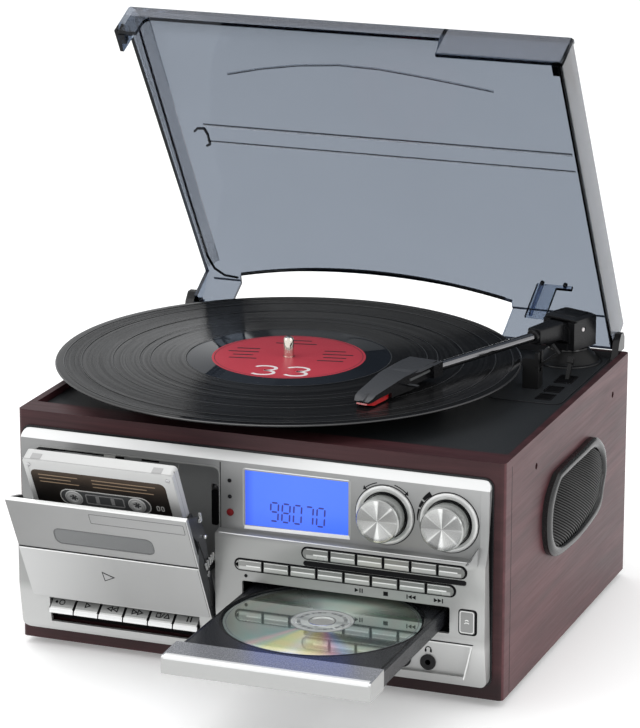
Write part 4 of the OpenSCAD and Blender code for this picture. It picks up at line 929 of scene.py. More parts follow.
# ------------------------------------------------------------ front panel
def build_fascia():
    g = Piece("fascia_shadow_gap", "main", "black_plastic")
    # black band round the fascia: painted shadow in the gap between fascia and wood
    g.ring(rr(2.8, 315.2, 8.1, 141.7, 6.2), rr(4.1, 313.9, 9.6, 140.3, 5), "y", -0.9, 0.0, "black")
    g.done(0.15)

    p = Piece("fascia_prints", "main", "black_plastic")
    y0, y1 = -5.07, -4.97
    # arrows round the tuning knob
    for a0, a1 in ((105, 128), (73, 49)):
        p.ribbon(arc(247.4, 112.2, 20.5, a0, a1, 10), 0.62, "y", y0, y1, "ink")
        a = a1 + (3.2 if a1 > 90 else -3.2)
        tip = arc(247.4, 112.2, 20.4, a + (3 if a1 > 90 else -3), a, 1)
        q = [tip[0], arc(247.4, 112.2, 22.1, a1, a1, 1)[0], arc(247.4, 112.2, 18.9, a1, a1, 1)[0]]
        p.prism(q, "y", y0, y1, "ink")
    # tapering volume scale
    def wd(a):
        return 2.9 - 2.4 * (a - 124.6) / 58
    for a0, a1 in ((124.6, 142.4), (145.4, 158.0), (161.2, 182.6)):
        p.ribbon(arc(288.4, 112.2, 20.6 - (a0 - 124) * 0.012, a0, a1, 8), wd(a0), "y", y0, y1, "ink", w1=wd(a1))
    # transport symbols
    y0, y1, zc = -12.07, -11.97, 64.3
    p.prism(circle(159.05, zc, 1.15, 16), "y", y0, y1, "ink")

    def tri(x, s, h=1.4, w=2.5):
        p.prism([(x - s * w / 2, zc - h), (x + s * w / 2, zc), (x - s * w / 2, zc + h)], "y", y0, y1, "ink")

    def bar(x, w=0.72, h=1.4):
        p.prism([(x - w / 2, zc - h), (x + w / 2, zc - h), (x + w / 2, zc + h), (x - w / 2, zc + h)], "y", y0, y1, "ink")
    tri(231.8, 1)
    bar(234.0)
    bar(235.4)
    bar(250.6, 3.0, 1.35)
    bar(264.4)
    tri(266.2, -1)
    tri(268.7, -1)
    tri(282.8, 1)
    tri(285.3, 1)
    bar(287.1)
    # symbol of the headphone socket
    p.ribbon(arc(276, 29.6, 1.75, -10, 190, 12), 0.6, "y", -5.52, -5.38, "ink")
    for s in (-1, 1):
        p.prism(rr(276 + s * 1.7 - 0.6, 276 + s * 1.7 + 0.6, 27.8, 29.8, 0.3, 2), "y", -5.52, -5.38, "ink")
    p.done()

    t = Piece("fascia_trim", "main", "silver_plastic")
    # painted highlight on the edge of the step between the two faces
    t.ribbon([(140.8, 90.2), (306.5, 90.2)], 0.7, "y", -11.35, -10.8, "silver_painted_light")
    # right-hand wedge: its slanting edge
    t.ribbon([(301.6, 88.6), (309.3, 100.4)], 0.5, "y", -12.1, -11.8, "line_grey")
    # painted highlight on the borders of the socket recess, and a painted shade line above it
    t.ribbon([(239.5, 38.4), (288.0, 38.4), (306.9, 38.4)], 0.55, "y", -12.12, -11.9, "ink")
    t.ribbon([(262.0, 37.5), (305.9, 37.5)], 0.75, "y", -12.2, -11.9, "silver_marks_and_painted_highlights")
    t.ribbon([(305.9, 37.3), (300.9, 15.4)], 0.9, "y", -12.2, -11.9, "silver_marks_and_painted_highlights")
    # white lip under the display, and its thin frame
    t.prism([(155.2, 92.3), (224.8, 93.6), (224.4, 96.1), (155.6, 94.6)], "y", -5.25, -4.9, "bezel_white")
    t.ring(rr(154.3, 225.3, 93.5, 131.8, 2.2), rr(155.3, 224.3, 94.5, 130.7, 1.6), "y", -5.12, -4.4, "frame_grey")
    # painted highlight along the top of the display frame
    t.ribbon([(156, 131.2), (224, 131.2)], 0.6, "y", -5.2, -4.6, "silver_painted_light")
    t.done(0.12)

    k = Piece("button_surrounds", "main", "black_plastic")
    for x0, x1, z0, z1 in ((196.9, 301.4, 80.6, 87.4), (152.7, 294.5, 68.3, 74.7)):
        h = (z1 - z0) / 2
        k.ring(rr(x0 - 1.35, x1 + 1.35, z0 - 0.95, z1 + 0.95, h + 0.9), rr(x0 - 0.15, x1 + 0.15, z0 - 0.15, z1 + 0.15, h + 0.1),
               "y", -12.1, -11.9, "ink")
    k.ring(rr(297.3, 309.3, 44.5, 61.1, 2.4), rr(298.0, 308.0, 45.6, 60.4, 1.7), "y", -12.12, -11.9, "ink")
    # inlaid band between the rows
    k.prism(rr(197.0, 302.2, 75.8, 79.1, 1.6), "y", -12.18, -11.75, "ink")
    # near-black sheet behind the keys: painted shade in the gaps round them
    k.box((24.3, -2.6, 16.9), (127, -2.3, 32.5), "void_black")
    k.done(0.05)

    # turned seat round each knob: dark groove, bright outer lip
    for nm, kx in (("tuning_seat", 247.4), ("volume_seat", 288.4)):
        r_ = Piece(nm, "main", "chrome")
        r_.lathe([(14.2, -0.6), (14.2, -1.06), (14.9, -1.04), (14.9, -0.6)], (kx, -5, 112.2), "y", "ink", 96)
        r_.lathe([(14.9, -0.6), (14.9, -1.0), (15.6, -1.55), (16.6, -1.95), (17.6, -2.05), (18.2, -1.85), (18.6, -1.2), (18.7, -0.1), (18.6, 0.0)],
                 (kx, -5, 112.2), "y", "seat_silver", 96)
        r_.lathe([(18.7, 0.0), (18.7, -0.12), (19.25, -0.12), (19.25, 0.0)], (kx, -5, 112.2), "y", "ink", 96)
        r_.done(smooth=50)

    l_ = Piece("lamp_domes", "main", "red_plastic")
    l_.lathe([(2.3, 0.0), (2.3, -0.5), (1.9, -0.85), (1.0, -1.1), (0, -1.15)], (146.0, -5, 101.8), "y", "led_red", 32)
    for lx, lz in ((145.7, 122.2), (145.8, 111.9)):
        l_.lathe([(1.3, 0.0), (1.3, -0.2), (1.0, -0.45), (0, -0.5)], (lx, -5, lz), "y", "ink", 24)
    l_.done(smooth=60)
    sg = Piece("side_grooves", "main", "veneer")
    for xa, xb in ((321.85, 322.06), (-0.06, 0.15)):
        sg.box((xa, 12.6, 1.0), (xb, 13.3, 146.0), "groove_wood")
    sg.done()

    d = Piece("display_glass", "main", "display")
    d.prism([(155.9, 94.9), (223.5, 96.0), (223.5, 130.0), (155.9, 130.0)], "y", -4.72, -4.2, "lcd")

    def seg(x, z, w, h, on, th):
        """One numeral of up to seven bars in a box, slightly slanted."""
        m = z + h / 2
        bars = {"a": ((x, z + h), (x + w, z + h)), "g": ((x, m), (x + w, m)), "d": ((x, z), (x + w, z)),
                "f": ((x, m), (x, z + h)), "b": ((x + w, m), (x + w, z + h)), "e": ((x, z), (x, m)),
                "c": ((x + w, z), (x + w, m))}
        for ch in on:
            (ax, az), (bx, bz) = bars[ch]
            g_ = 0.55
            L = math.hypot(bx - ax, bz - az)
            ux, uz = (bx - ax) / L, (bz - az) / L
            a_, b_ = (ax + ux * g_, az + uz * g_), (bx - ux * g_, bz - uz * g_)
            nx, nz = -uz * th / 2, ux * th / 2
            hx, hz = ux * th / 2, uz * th / 2
            loop = [a_, (a_[0] + hx + nx, a_[1] + hz + nz), (b_[0] - hx + nx, b_[1] - hz + nz), b_,
                    (b_[0] - hx - nx, b_[1] - hz - nz), (a_[0] + hx - nx, a_[1] + hz - nz)]
            loop = [(q[0] + (q[1] - z) * 0.05, q[1]) for q in loop]
            d.prism(loop, "y", -4.80, -4.70, "lcd_ink")
    D7 = {"9": "abcdfg", "8": "abcdefg", "0": "abcdef", "7": "abc", "5": "acdfg"}
    for i, ch in enumerate("98070"):
        seg(172.4 + i * 7.6, 99.4, 5.0, 11.8, D7[ch], 1.05)
    d.done()


def button_ledges():
    """Each push button's stepped cap: a rib with a painted highlight, a lower half lighter with painted light, slim
    dark ends.
    """
    rows = (("function_button_", "function_", 6, 196.9, 301.4, 80.6, 87.4, 1),
            ("transport_button_", "transport_", 8, 152.7, 294.5, 68.3, 74.7, 0))
    for node, body, n, x0, x1, z0, z1, _ in rows:
        w = (x1 - x0) / n
        for i in range(n):
            a = x0 + i * w + (0 if i == 0 else 0.35)
            b = x0 + (i + 1) * w - (0 if i == n - 1 else 0.35)
            p = Piece(f"{node}{i + 1}_cap", f"{body}{i + 1}", "silver_plastic")
            la = a + (7.0 if i == 0 else 0.9)
            lb = b - (4.6 if i == n - 1 else 0.9)
            zc = z0 + (z1 - z0) * 0.40
            # painted highlight along the rib
            p.prism([(la, zc), (lb, zc), (lb, zc + 0.72), (la, zc + 0.72)], "y", -13.42, -12.85, "silver_marks_and_painted_highlights")
            # lower half stands a little forward, lighter with painted light
            ha = a + (2.2 if i == 0 else 0.5)
            hb = b - (2.2 if i == n - 1 else 0.5)
            p.prism([(ha, z0 + 0.55), (hb, z0 + 0.55), (hb, zc), (ha, zc)], "y", -13.12, -12.85, "button_low_painted_light")
            # painted highlight along the top edge
            p.prism([(ha + 0.2, z1 - 0.70), (hb - 0.2, z1 - 0.70), (hb - 0.2, z1 - 0.40), (ha + 0.2, z1 - 0.40)],
                    "y", -13.02, -12.85, "silver_marks_and_painted_highlights")
            # black flanks at the joints between neighbours
            if i:
                p.prism([(a - 0.02, z0 + 0.1), (a + 0.45, z0 + 0.1), (a + 0.45, z1 - 0.1), (a - 0.02, z1 - 0.1)], "y", -13.2, -12.6, "ink")
            if i < n - 1:
                p.prism([(b - 0.45, z0 + 0.1), (b + 0.02, z0 + 0.1), (b + 0.02, z1 - 0.1), (b - 0.45, z1 - 0.1)], "y", -13.2, -12.6, "ink")
            p.done(0.1)
    p = Piece("eject_button_mark", "eject", "silver_plastic")
    # bright marks, and a border of painted highlight, on the eject button
    for z, hw in ((52.2, 1.5), (53.9, 1.1)):
        p.ribbon([(303 - hw, z), (303 - hw * 0.4, z + 0.5), (303 + hw * 0.4, z + 0.5), (303 + hw, z)], 0.5, "y",
                 -13.15, -12.85, "silver_marks_and_painted_highlights")
    p.ring(rr(298.5, 307.5, 46.1, 59.9, 1.5), rr(298.9, 307.1, 46.5, 59.5, 1.2), "y", -12.98, -12.85, "silver_marks_and_painted_highlights")
    p.done(0.1)


def key_marks():
    """Symbols and the lip with its painted highlight on each cassette key."""
    for i, k in enumerate(("record", "play", "rewind", "forward", "stop", "pause")):
        x0 = 24.75 + i * 17.02
        cx = x0 + (8.2 if i < 5 else 9.6)
        p = Piece(f"key_{k}_mark", f"{k}_key", "silver_plastic", T_key)
        zc, w = 4.5, 0.68
        a, b = -0.06, 0.06

        def pl(u, v, t):
            return u, v, t
        p.place = staticmethod(lambda ax, u, v, t: (u, v, t))
        if k == "record":
            p.ring(circle(x0 + 7.4, zc, 2.05, 24), circle(x0 + 7.4, zc, 1.4, 24), "z", a, b, "ink")
            p.prism(circle(x0 + 3.6, zc, 0.95, 20), "z", a, b, "ink")
        elif k in ("play", "forward"):
            for dx in ((0,) if k == "play" else (-1.9, 1.9)):
                p.ribbon([(cx + dx - 1.5, zc - 1.6), (cx + dx + 1.6, zc), (cx + dx - 1.5, zc + 1.6)], w, "z", a, b,
                         "ink", closed=True)
        elif k == "rewind":
            for dx in (-1.9, 1.9):
                p.ribbon([(cx + dx + 1.5, zc + 1.6), (cx + dx - 1.6, zc), (cx + dx + 1.5, zc - 1.6)], w, "z", a, b,
                         "ink", closed=True)
        elif k == "stop":
            p.ribbon([(cx - 3.9, zc - 1.4), (cx - 1.3, zc - 1.4), (cx - 1.3, zc + 1.5), (cx - 3.9, zc + 1.5)], w, "z",
                     a, b, "ink", closed=True)
            p.ribbon([(cx - 0.7, zc - 1.6), (cx + 1.0, zc + 1.7)], w, "z", a, b, "ink")
            p.ribbon([(cx + 1.5, zc - 1.4), (cx + 5.0, zc - 1.4), (cx + 3.3, zc + 1.5)], w, "z", a, b, "ink", closed=True)
        else:
            for dx in (-0.9, 0.9):
                p.ribbon([(cx + dx * 1.3, zc - 1.9), (cx + dx * 1.3, zc + 1.9)], 0.95, "z", a, b, "ink")
        # rolled lip where the sloping face meets the front, with a painted highlight
        p.prism([(x0 + 0.7, -0.35), (x0 + 15.7, -0.35), (x0 + 15.7, 0.85), (x0 + 0.7, 0.85)], "z", -0.3, 0.1,
                "silver_marks_and_painted_highlights")
        # black flanks beside the neighbours
        for u0, u1 in ((x0 + 0.02, x0 + 0.5), (x0 + 15.9, x0 + 16.38)):
            p.prism([(u0, -0.35), (u1, -0.35), (u1, 8.6), (u0, 8.6)], "z", -0.4, 0.12, "ink")
        p.done()


# ------------------------------------------------------- door and cassette
def build_door():
    p = Piece("door_prints", "door", "silver_plastic", T_door)
    f = -12.66
    p.ribbon([(68.4, 65.9), (75.9, 62.2), (68.8, 58.3)], 0.5, "y", f - 0.07, f + 0.05, "ink", closed=True)
    p.ribbon([(68.9, 65.2), (75.2, 62.1)], 0.35, "y", f - 0.07, f + 0.05, "ink")
    u = f + 0.5
    p.ring(rr(70, 133.4, 108.3, 116.5, 0.8, 2), rr(70.35, 133.05, 108.65, 116.15, 0.6, 2), "y", u - 0.06, u + 0.05, "line_grey")
    p.done()
    e = Piece("door_edges", "door", "silver_plastic", T_door)
    # painted highlight along the step and along the top edge with a painted shade line above the step, the lens frame,
    # and a painted highlight down the right-hand edge with dark lines beside it
    e.box((14.9, f - 0.1, 79.2), (136.1, f + 0.4, 79.9), "silver_marks_and_painted_highlights")
    e.box((14.9, f + 0.22, 79.95), (136.1, f + 0.55, 80.75), "ink")
    e.box((14.7, u - 0.1, 120.2), (136.3, u + 2.2, 121.3), "silver_marks_and_painted_highlights")
    e.ring(rr(41.8, 109.2, 86.8, 100.2, 4.7), rr(42.5, 108.5, 87.5, 99.5, 4), "y", u - 0.12, u + 0.1, "line_grey")
    e.box((135.9, f - 0.10, 37.6), (136.4, f + 0.3, 79.0), "seat_silver")
    e.box((135.9, u - 0.10, 79.6), (136.4, u + 0.3, 120.2), "seat_silver")
    e.box((135.2, f - 0.05, 37.6), (135.5, f + 0.1, 79.0), "line_grey")
    e.box((135.2, u - 0.05, 80.8), (135.5, u + 0.1, 119.6), "line_grey")
    e.done(0.12)
    w = Piece("door_lens", "door", "smoky_clear", T_door)
    w.prism(rr(42.4, 108.6, 87.4, 99.6, 4.1), "y", u - 0.02, u + 1.2, "door_window")
    w.done(0.25)
    s = Piece("door_side_parts", "door", "dark_plastic", T_door)
    # stiffening rib, latch tooth and screw on the right-hand side wall
    s.tube([(136.4, -8.6, 44), (136.4, -4.2, 60), (136.4, -3.0, 78), (136.4, -5.4, 97)], 0.55, "black_gloss")
    s.lathe([(0, 0), (2.0, 0), (2.0, 0.55), (1.5, 0.8), (0, 0.8)], (136.4, -2.6, 66), "x", "steel", 20)
    # bright peg, latch bracket and toothed damper sector
    s.lathe([(0, 0), (1.5, 0), (1.5, 1.3), (1.15, 1.7), (0, 1.75)], (136.7, 2.8, 93.2), "x", "chrome", 24)
    s.prism([(0.4, 107.4), (3.6, 106.2), (4.4, 112.4), (3.4, 113.2), (2.6, 108.8), (1.2, 109.4)], "x", 136.6, 138.2, "seat_silver")
    s.ribbon([(-7 + 40.6 * math.sin(rad(t)), 34 + 40.6 * math.cos(rad(t))) for t in range(2, 22, 3)], 4.6, "x", 136.6, 137.2, "ink")
    for t in (2, 6, 10, 14, 18):
        a0_, a1_ = rad(t), rad(t + 1.8)
        s.prism([(-7 + R_ * math.sin(q_), 34 + R_ * math.cos(q_)) for R_, q_ in ((38.2, a0_), (43.4, a0_), (43.4, a1_), (38.2, a1_))],
                "x", 137.0, 138.2, "seat_silver")
    s.done(0.15)


def build_cassette():
    y = 2.9
    p = Piece("cassette_label", "tape", "tape_shell", T_door)
    p.prism(rr(28.6, 119.0, 100.6, 134.6, 4.2), "y", y - 0.14, y + 0.02, "tape_label")
    # printed bars standing in for the writing, and the tape's number
    for x0, x1, z in ((33.6, 60, 130.4), (69.4, 112, 130.4), (33.6, 55, 127.5), (69.4, 106, 127.5),
                      (33.6, 60, 124.6), (69.4, 110, 124.6)):
        p.box((x0, y - 0.19, z), (x1, y - 0.12, z + 0.75), "print_tan")
    for xx in (110.6, 113.6):
        p.ring(rr(xx - 1.1, xx + 1.1, 111.0, 115.2, 0.8, 3), rr(xx - 0.5, xx + 0.5, 111.7, 114.5, 0.4, 3), "y",
               y - 0.19, y - 0.12, "hub_white")
    # pale hub plate with its outline, window and the gaps beside the tape packs
    p.prism(rr(45.4, 105.6, 107.6, 120.2, 6.1), "y", y - 0.24, y - 0.1, "line_grey")
    p.ring(rr(44.9, 106.1, 107.1, 120.7, 6.6), rr(45.6, 105.4, 107.8, 120.0, 5.9), "y", y - 0.3, y - 0.1, "hub_white")
    p.ring(rr(62.2, 88.2, 109.9, 118.0, 1.2), rr(62.9, 87.5, 110.6, 117.3, 0.8), "y", y - 0.32, y - 0.2, "tab_grey")
    p.prism(rr(69.0, 71.4, 111.2, 116.8, 0.3), "y", y - 0.30, y - 0.2, "tab_grey")
    p.prism(rr(79.2, 81.6, 111.2, 116.8, 0.3), "y", y - 0.30, y - 0.2, "tab_grey")
    for cx in (54.25, 96.75):
        p.lathe([(5.9, 0.0), (5.9, -0.25), (5.3, -0.5), (3.6, -0.42), (3.6, 0.0)], (cx, y - 0.2, 113.8), "y", "white_plastic", 40)
        p.lathe([(5.15, -0.3), (5.15, -0.56), (4.75, -0.56), (4.75, -0.3)], (cx, y - 0.2, 113.8), "y", "tab_grey", 40)
        p.lathe([(3.7, 0.6), (3.7, -0.5), (3.3, -0.62), (2.6, -0.35), (2.5, 0.6)], (cx, y - 0.2, 113.8), "y", "white_plastic", 32)
        for j in range(6):
            t = rad(60 * j + 12)
            c, s_ = math.cos(t), math.sin(t)
            p.prism([(cx + 2.7 * c - 0.35 * s_, 113.8 + 2.7 * s_ + 0.35 * c), (cx + 1.5 * c - 0.3 * s_, 113.8 + 1.5 * s_ + 0.3 * c),
                     (cx + 1.5 * c + 0.3 * s_, 113.8 + 1.5 * s_ - 0.3 * c), (cx + 2.7 * c + 0.35 * s_, 113.8 + 2.7 * s_ - 0.35 * c)],
                    "y", y - 0.55, y + 0.4, "white_plastic")
        p.lathe([(0, 0.35), (2.6, 0.35), (2.6, 0.5), (0, 0.5)], (cx, y - 0.2, 113.8), "y", "tab_grey", 24)
    p.done(0.06)
    t = Piece("cassette_shell_parts", "tape", "tape_shell", T_door)
    # raised border of the shell, screws, and the two write-protect windows on the edge
    t.ring(rr(25.6, 125.4, 80, 142.8, 2.2), rr(28.2, 122.8, 84, 140.2, 1.6), "y", y - 0.22, y + 0.05, "white_plastic")
    for x, z in ((29.0, 138.6), (122.4, 138.6)):
        t.lathe([(0, 0), (1.5, 0), (1.5, -0.35), (1.2, -0.5), (0.4, -0.5), (0, -0.3)], (x - 0.4, y - 0.1, z - 0.2), "y", "steel", 16)
    for x0, x1 in ((30.6, 37.2), (111.8, 118.2)):
        t.box((x0, 3.6, 143.0), (x1, 8.2, 143.35), "tab_grey")
    t.box((25.4, 3.05, 143.0), (125.6, 3.3, 143.3), "tab_grey")
    t.box((125.2, 6.9, 80), (125.8, 7.2, 143.0), "tab_grey")
    t.done(0.08)


def build_well():
    p = Piece("well_parts", "main", "dark_plastic")
    # dark slot beside the cassette, the latch slots at its top, and at the top left a black band of painted shadow
    # under the opening's upper edge
    p.prism(rr(125.4, 129.9, 85.2, 108, 1.2), "y", 14.2, 14.75, "void_black")
    for x0, x1, z0, z1 in ((14.2, 52, 121.6, 125.6), (60, 66, 121.0, 122.4), (78, 90, 121.4, 123.4)):
        p.box((x0, 14.2, z0), (x1, 14.75, z1), "void_black")
    # seam of the inner frame beside the well
    p.box((139.2, -5.12, 91.4), (139.9, -4.9, 133.6), "black")
    p.done(0.2)
    q = Piece("well_rim", "main", "silver_plastic")
    # turned-in rim round the opening of the well
    q.ribbon([(13.3, 40), (13.3, 126.5), (14.5, 129), (17.5, 130.0), (135, 130.0), (138, 129), (139.0, 126.5), (139.0, 92)],
             0.7, "y", -5.3, -4.8, "silver_button")
    q.done(0.12)


# ------------------------------------------------------------ disc and tray
def build_disc():
    z = 54.8
    c = (222.5, -46, z)
    p = Piece("disc_hub", "tray", "disc")
    p.lathe([(7.5, 0.0), (7.5, 0.12), (8.3, 0.12), (8.5, 0.0)], c, "z", "ring_chrome", 64)
    p.lathe([(16.9, 0.0), (17.0, 0.12), (17.4, 0.12), (17.5, 0.0)], c, "z", "tab_grey", 96)
    p.lathe([(19.0, 0.0), (19.1, 0.06), (19.5, 0.06), (19.6, 0.0)], c, "z", "line_grey", 96)
    p.lathe([(57.9, 0.0), (58.0, 0.05), (58.25, 0.05), (58.3, 0.0)], c, "z", "line_grey", 120)
    for i in range(60):
        if i % 15 in (0, 1, 8):
            continue
        t0 = rad(i * 6 + (i * 37 % 5) * 0.4)
        w = 0.25 + (i * 53 % 3) * 0.18
        co, si = math.cos(t0), math.sin(t0)
        q = [(c[0] + r * co - k * si, c[1] + r * si + k * co) for r, k in ((13.2, -w), (15.4, -w), (15.4, w), (13.2, w))]
        p.prism(q, "z", z - 0.02, z + 0.04, "line_grey")
    p.done()
    r = Piece("tray_parts", "tray", "dark_plastic")
    # glossy rim of the disc's seat and the finger notches
    r.ring(circle(222.5, -46, 62.4, 96), circle(222.5, -46, 61.2, 96), "z", 55.4, 56.25, "black_gloss")
    for s in (-1, 1):
        r.box((222.5 + s * 61.7 - 0.6, -118, 55.9), (222.5 + s * 61.7 + 0.6, 8, 56.25), "black_gloss")
    r.done(0.2)
    f = Piece("tray_front_lip", "tray", "silver_plastic")
    # painted highlight along the tray front's top edge
    f.prism([(-143.25, 56.7), (-142.9, 58.0), (-141.4, 58.85), (-138.4, 58.95), (-138.4, 58.4), (-142.2, 57.8), (-142.9, 56.6)],
            "x", 160.2, 287.8, "silver_painted_light")
    f.done(0.15)


# ------------------------------------------------------------------ record
def build_record():
    cx, cy, z = 131.0, 131.5, 163.3
    p = Piece("record_label", "turntable", "vinyl")
    p.lathe([(3.75, -0.05), (3.75, 0.14), (49.2, 0.14), (49.9, 0.06), (49.9, -0.05)], (cx, cy, z), "z", "paper_red", 128)
    p.lathe([(47.9, 0.1), (47.9, 0.17), (48.3, 0.17), (48.3, 0.1)], (cx, cy, z), "z", "print_black", 128)

    def bar(u, v, L, h, mat, rot):
        """Short printed bar centred at (u, v) from the axis."""
        c, s = math.cos(rad(rot)), math.sin(rad(rot))
        q = [(u + a * L / 2, v + b * h / 2) for a, b in ((-1, -1), (1, -1), (1, 1), (-1, 1))]
        p.prism([(cx + a * c - b * s, cy + a * s + b * c) for a, b in q], "z", z + 0.12, z + 0.19, mat)
    rot = 12
    for u, v, L in ((-29, 15, 15), (-31, 7.5, 20), (-30, 0, 13), (-29, -7.5, 18), (28, 16, 14), (31, 8.5, 20),
                    (30, 1, 15), (28, -6.5, 17), (0, 38, 18), (0, 30.5, 27)):
        bar(u, v, L, 1.8, "print_black", rot)
    # playing speed in large white numerals
    c, s = math.cos(rad(rot)), math.sin(rad(rot))

    def stroke(pts, w):
        p.ribbon([(cx + a * c - b * s, cy + a * s + b * c) for a, b in pts], w, "z", z + 0.12, z + 0.2, "print_white")
    for ox in (-10.5, 10.5):
        up = arc(0, -28.8, 5.0, 150, -90, 16)
        dn = arc(0, -38.8, 5.0, 90, -150, 16)
        stroke([(ox + a * 1.45, b) for a, b in up], 2.3)
        stroke([(ox + a * 1.45, b) for a, b in dn], 2.3)
    p.done()
    # rounded rim bead as a painted highlight, and the raised ring round the label with those between the tracks,
    # lighter than the vinyl as painted sheen
    r = Piece("record_rim", "turntable", "vinyl")
    r.lathe([(149.4, -0.5), (149.9, -0.12), (150.4, -0.25), (150.9, -0.8), (150.4, -1.3), (149.4, -1.2)], (cx, cy, z), "z", "vinyl_rim_painted_highlight", 200)
    for rd, w_ in ((145.2, 0.5), (134.0, 0.45), (113.9, 0.5), (96.6, 0.45), (89.6, 0.4), (66.6, 0.5)):
        r.lathe([(rd - w_ * 0.8, -0.02), (rd - w_ * 0.4, 0.04), (rd + w_ * 0.4, 0.04), (rd + w_ * 0.8, -0.02)], (cx, cy, z), "z", "vinyl_line_painted_sheen", 200)
    r.done(smooth=60)


# ------------------------------------------------------------------- cover
def build_cover():
    p = Piece("cover_lines", "lid", "smoky_clear", T_lid)
    zi = 184.5
    # stiffening ribs on the inside of the top panel, drawn as painted shade and painted highlight lines
    for y0, y1, m in ((119.2, 120.0, "smoke_painted_shade_line"), (120.4, 121.6, "smoke_painted_highlight"), (134.4, 135.0, "smoke_painted_shade_line"),
                      (135.3, 136.2, "smoke_painted_highlight")):
        p.box((38, y0, zi - 0.55), (295, y1, zi + 0.02), m)
    # pressed arc, drawn as a painted highlight line with a painted shade line beside it
    pts = []
    ctrl = [(65.9, 72), (90, 65.2), (118, 59.6), (147, 56.6), (174, 57.6), (200.2, 61.1), (226, 65.4), (249.8, 69.6)]
    p.ribbon(ctrl, 0.9, "z", zi - 0.35, zi + 0.02, "smoke_painted_highlight")
    p.ribbon([(x, y + 1.0) for x, y in ctrl], 0.6, "z", zi - 0.35, zi + 0.02, "smoke_painted_shade_line")
    p.done()
    q = Piece("cover_corner_line", "lid", "smoky_clear", T_lid)
    # corner where the left wall meets the top panel, and the painted shade beside it
    q.ribbon([(14.6, 30), (14.9, 128), (15.1, 186), (16.0, 240)], 1.5, "z", 178.2, 178.9, "smoke_edge")
    q.ribbon([(16.0, 240), (18.8, 252), (25, 258.0), (35.0, 259.2)], 1.5, "z", 178.0, 178.9, "smoke_edge")
    q.prism([(29, 170.6), (250, 177.2), (250, 178.2), (22, 178.2)], "x", 14.55, 14.72, "smoke_painted_shade_band")
    # grey see-through film over the right wall's outer face, making it greyer than the inside
    q.prism([(13.6, 153.4), (265.6, 153.4), (265.6, 177.2), (14.4, 177.2)], "x", 311.96, 312.12, "smoke_side")
    # painted shade band on the chamfer inside the left wall
    q.prism([(15.3, 177.4), (20.2, 184.3), (19.8, 184.45), (14.9, 177.7)], "y", 22, 250, "smoke_painted_shade_band")
    # painted highlight along the top panel's left corner
    q.ribbon([(20.6, 24), (20.6, 250)], 0.7, "z", 184.1, 184.45, "smoke_painted_highlight")
    # painted light: a pale film on the front wall's outer face for the light it catches from above
    for x0_, x1_, z0_ in ((13.0, 227.8, 168.8), (230.6, 311.0, 153.4)):
        q.prism([(11.4 + (z0_ - 152) * 0.0977 - 0.04, z0_), (13.96, 178.4), (13.80, 178.4), (11.4 + (z0_ - 152) * 0.0977 - 0.2, z0_)],
                "x", x0_, x1_, "smoke_painted_light")
    q.done()
    h = Piece("cover_hook", "lid", "smoky_clear", T_lid)
    h.ribbon([(30.2, 126.7), (33.4, 123.6), (38.2, 123.2), (39.6, 128.4), (39.3, 137.4), (36.4, 139.2)], 1.3, "z",
             zi - 1.5, zi + 0.02, "smoke_edge")
    h.done(0.2)
    # dark edge of every rim of the cover
    e = Piece("cover_rim", "lid", "smoky_clear", T_lid)
    R = 1.05
    zf = 152.9
    e.tube([(311.6, 14.0, 153), (311.6, 16.0, 178.4), (310.6, 20, 180.6)], R, "smoke_edge")
    e.tube([(310.9, 14.2, zf), (310.9, 120, zf - 0.2), (310.9, 264.5, zf)], R, "smoke_edge")
    arch = [(x_, 698.5 - math.sqrt(451 ** 2 - (x_ - 135) ** 2)) for x_ in range(37, 234, 6)]
    e.tube([(x_, y_ - 0.5, 183.5 - (y_ - 250) * 0.33) for x_, y_ in arch], 1.2, "smoke_edge")
    e.done()
    b = Piece("cover_bracket", "lid", "smoky_clear", T_lid)
    # ribbed plate hanging from the top panel over the arm
    b.prism([(253, 153), (267.5, 153), (267.5, 181.2), (278, 181.2), (278, 184.6), (253, 184.6)], "y", 242.2, 243.8, "smoke_plate")
    for x, z0 in ((257.2, 153.6), (273.4, 181.4)):
        b.prism([(x - 1.1, z0), (x + 1.1, z0), (x + 1.1, 184.4), (x - 1.1, 184.4)], "y", 239.4, 242.3, "smoke_rib")
    b.ribbon([(253.2, 153.2), (253.2, 184.4)], 0.7, "y", 242.0, 244.0, "smoke_edge")
    b.ribbon([(267.2, 153.2), (267.2, 181.5), (277.8, 181.5), (277.8, 184.4)], 0.7, "y", 242.0, 244.0, "smoke_edge")
    for x in (257.2, 273.4):
        b.lathe([(0, 0), (1.5, 0), (1.5, -2.2), (1.0, -2.8), (0, -2.8)], (x, 240.4, 184.4), "z", "smoke_edge", 16)
    b.done(0.3)


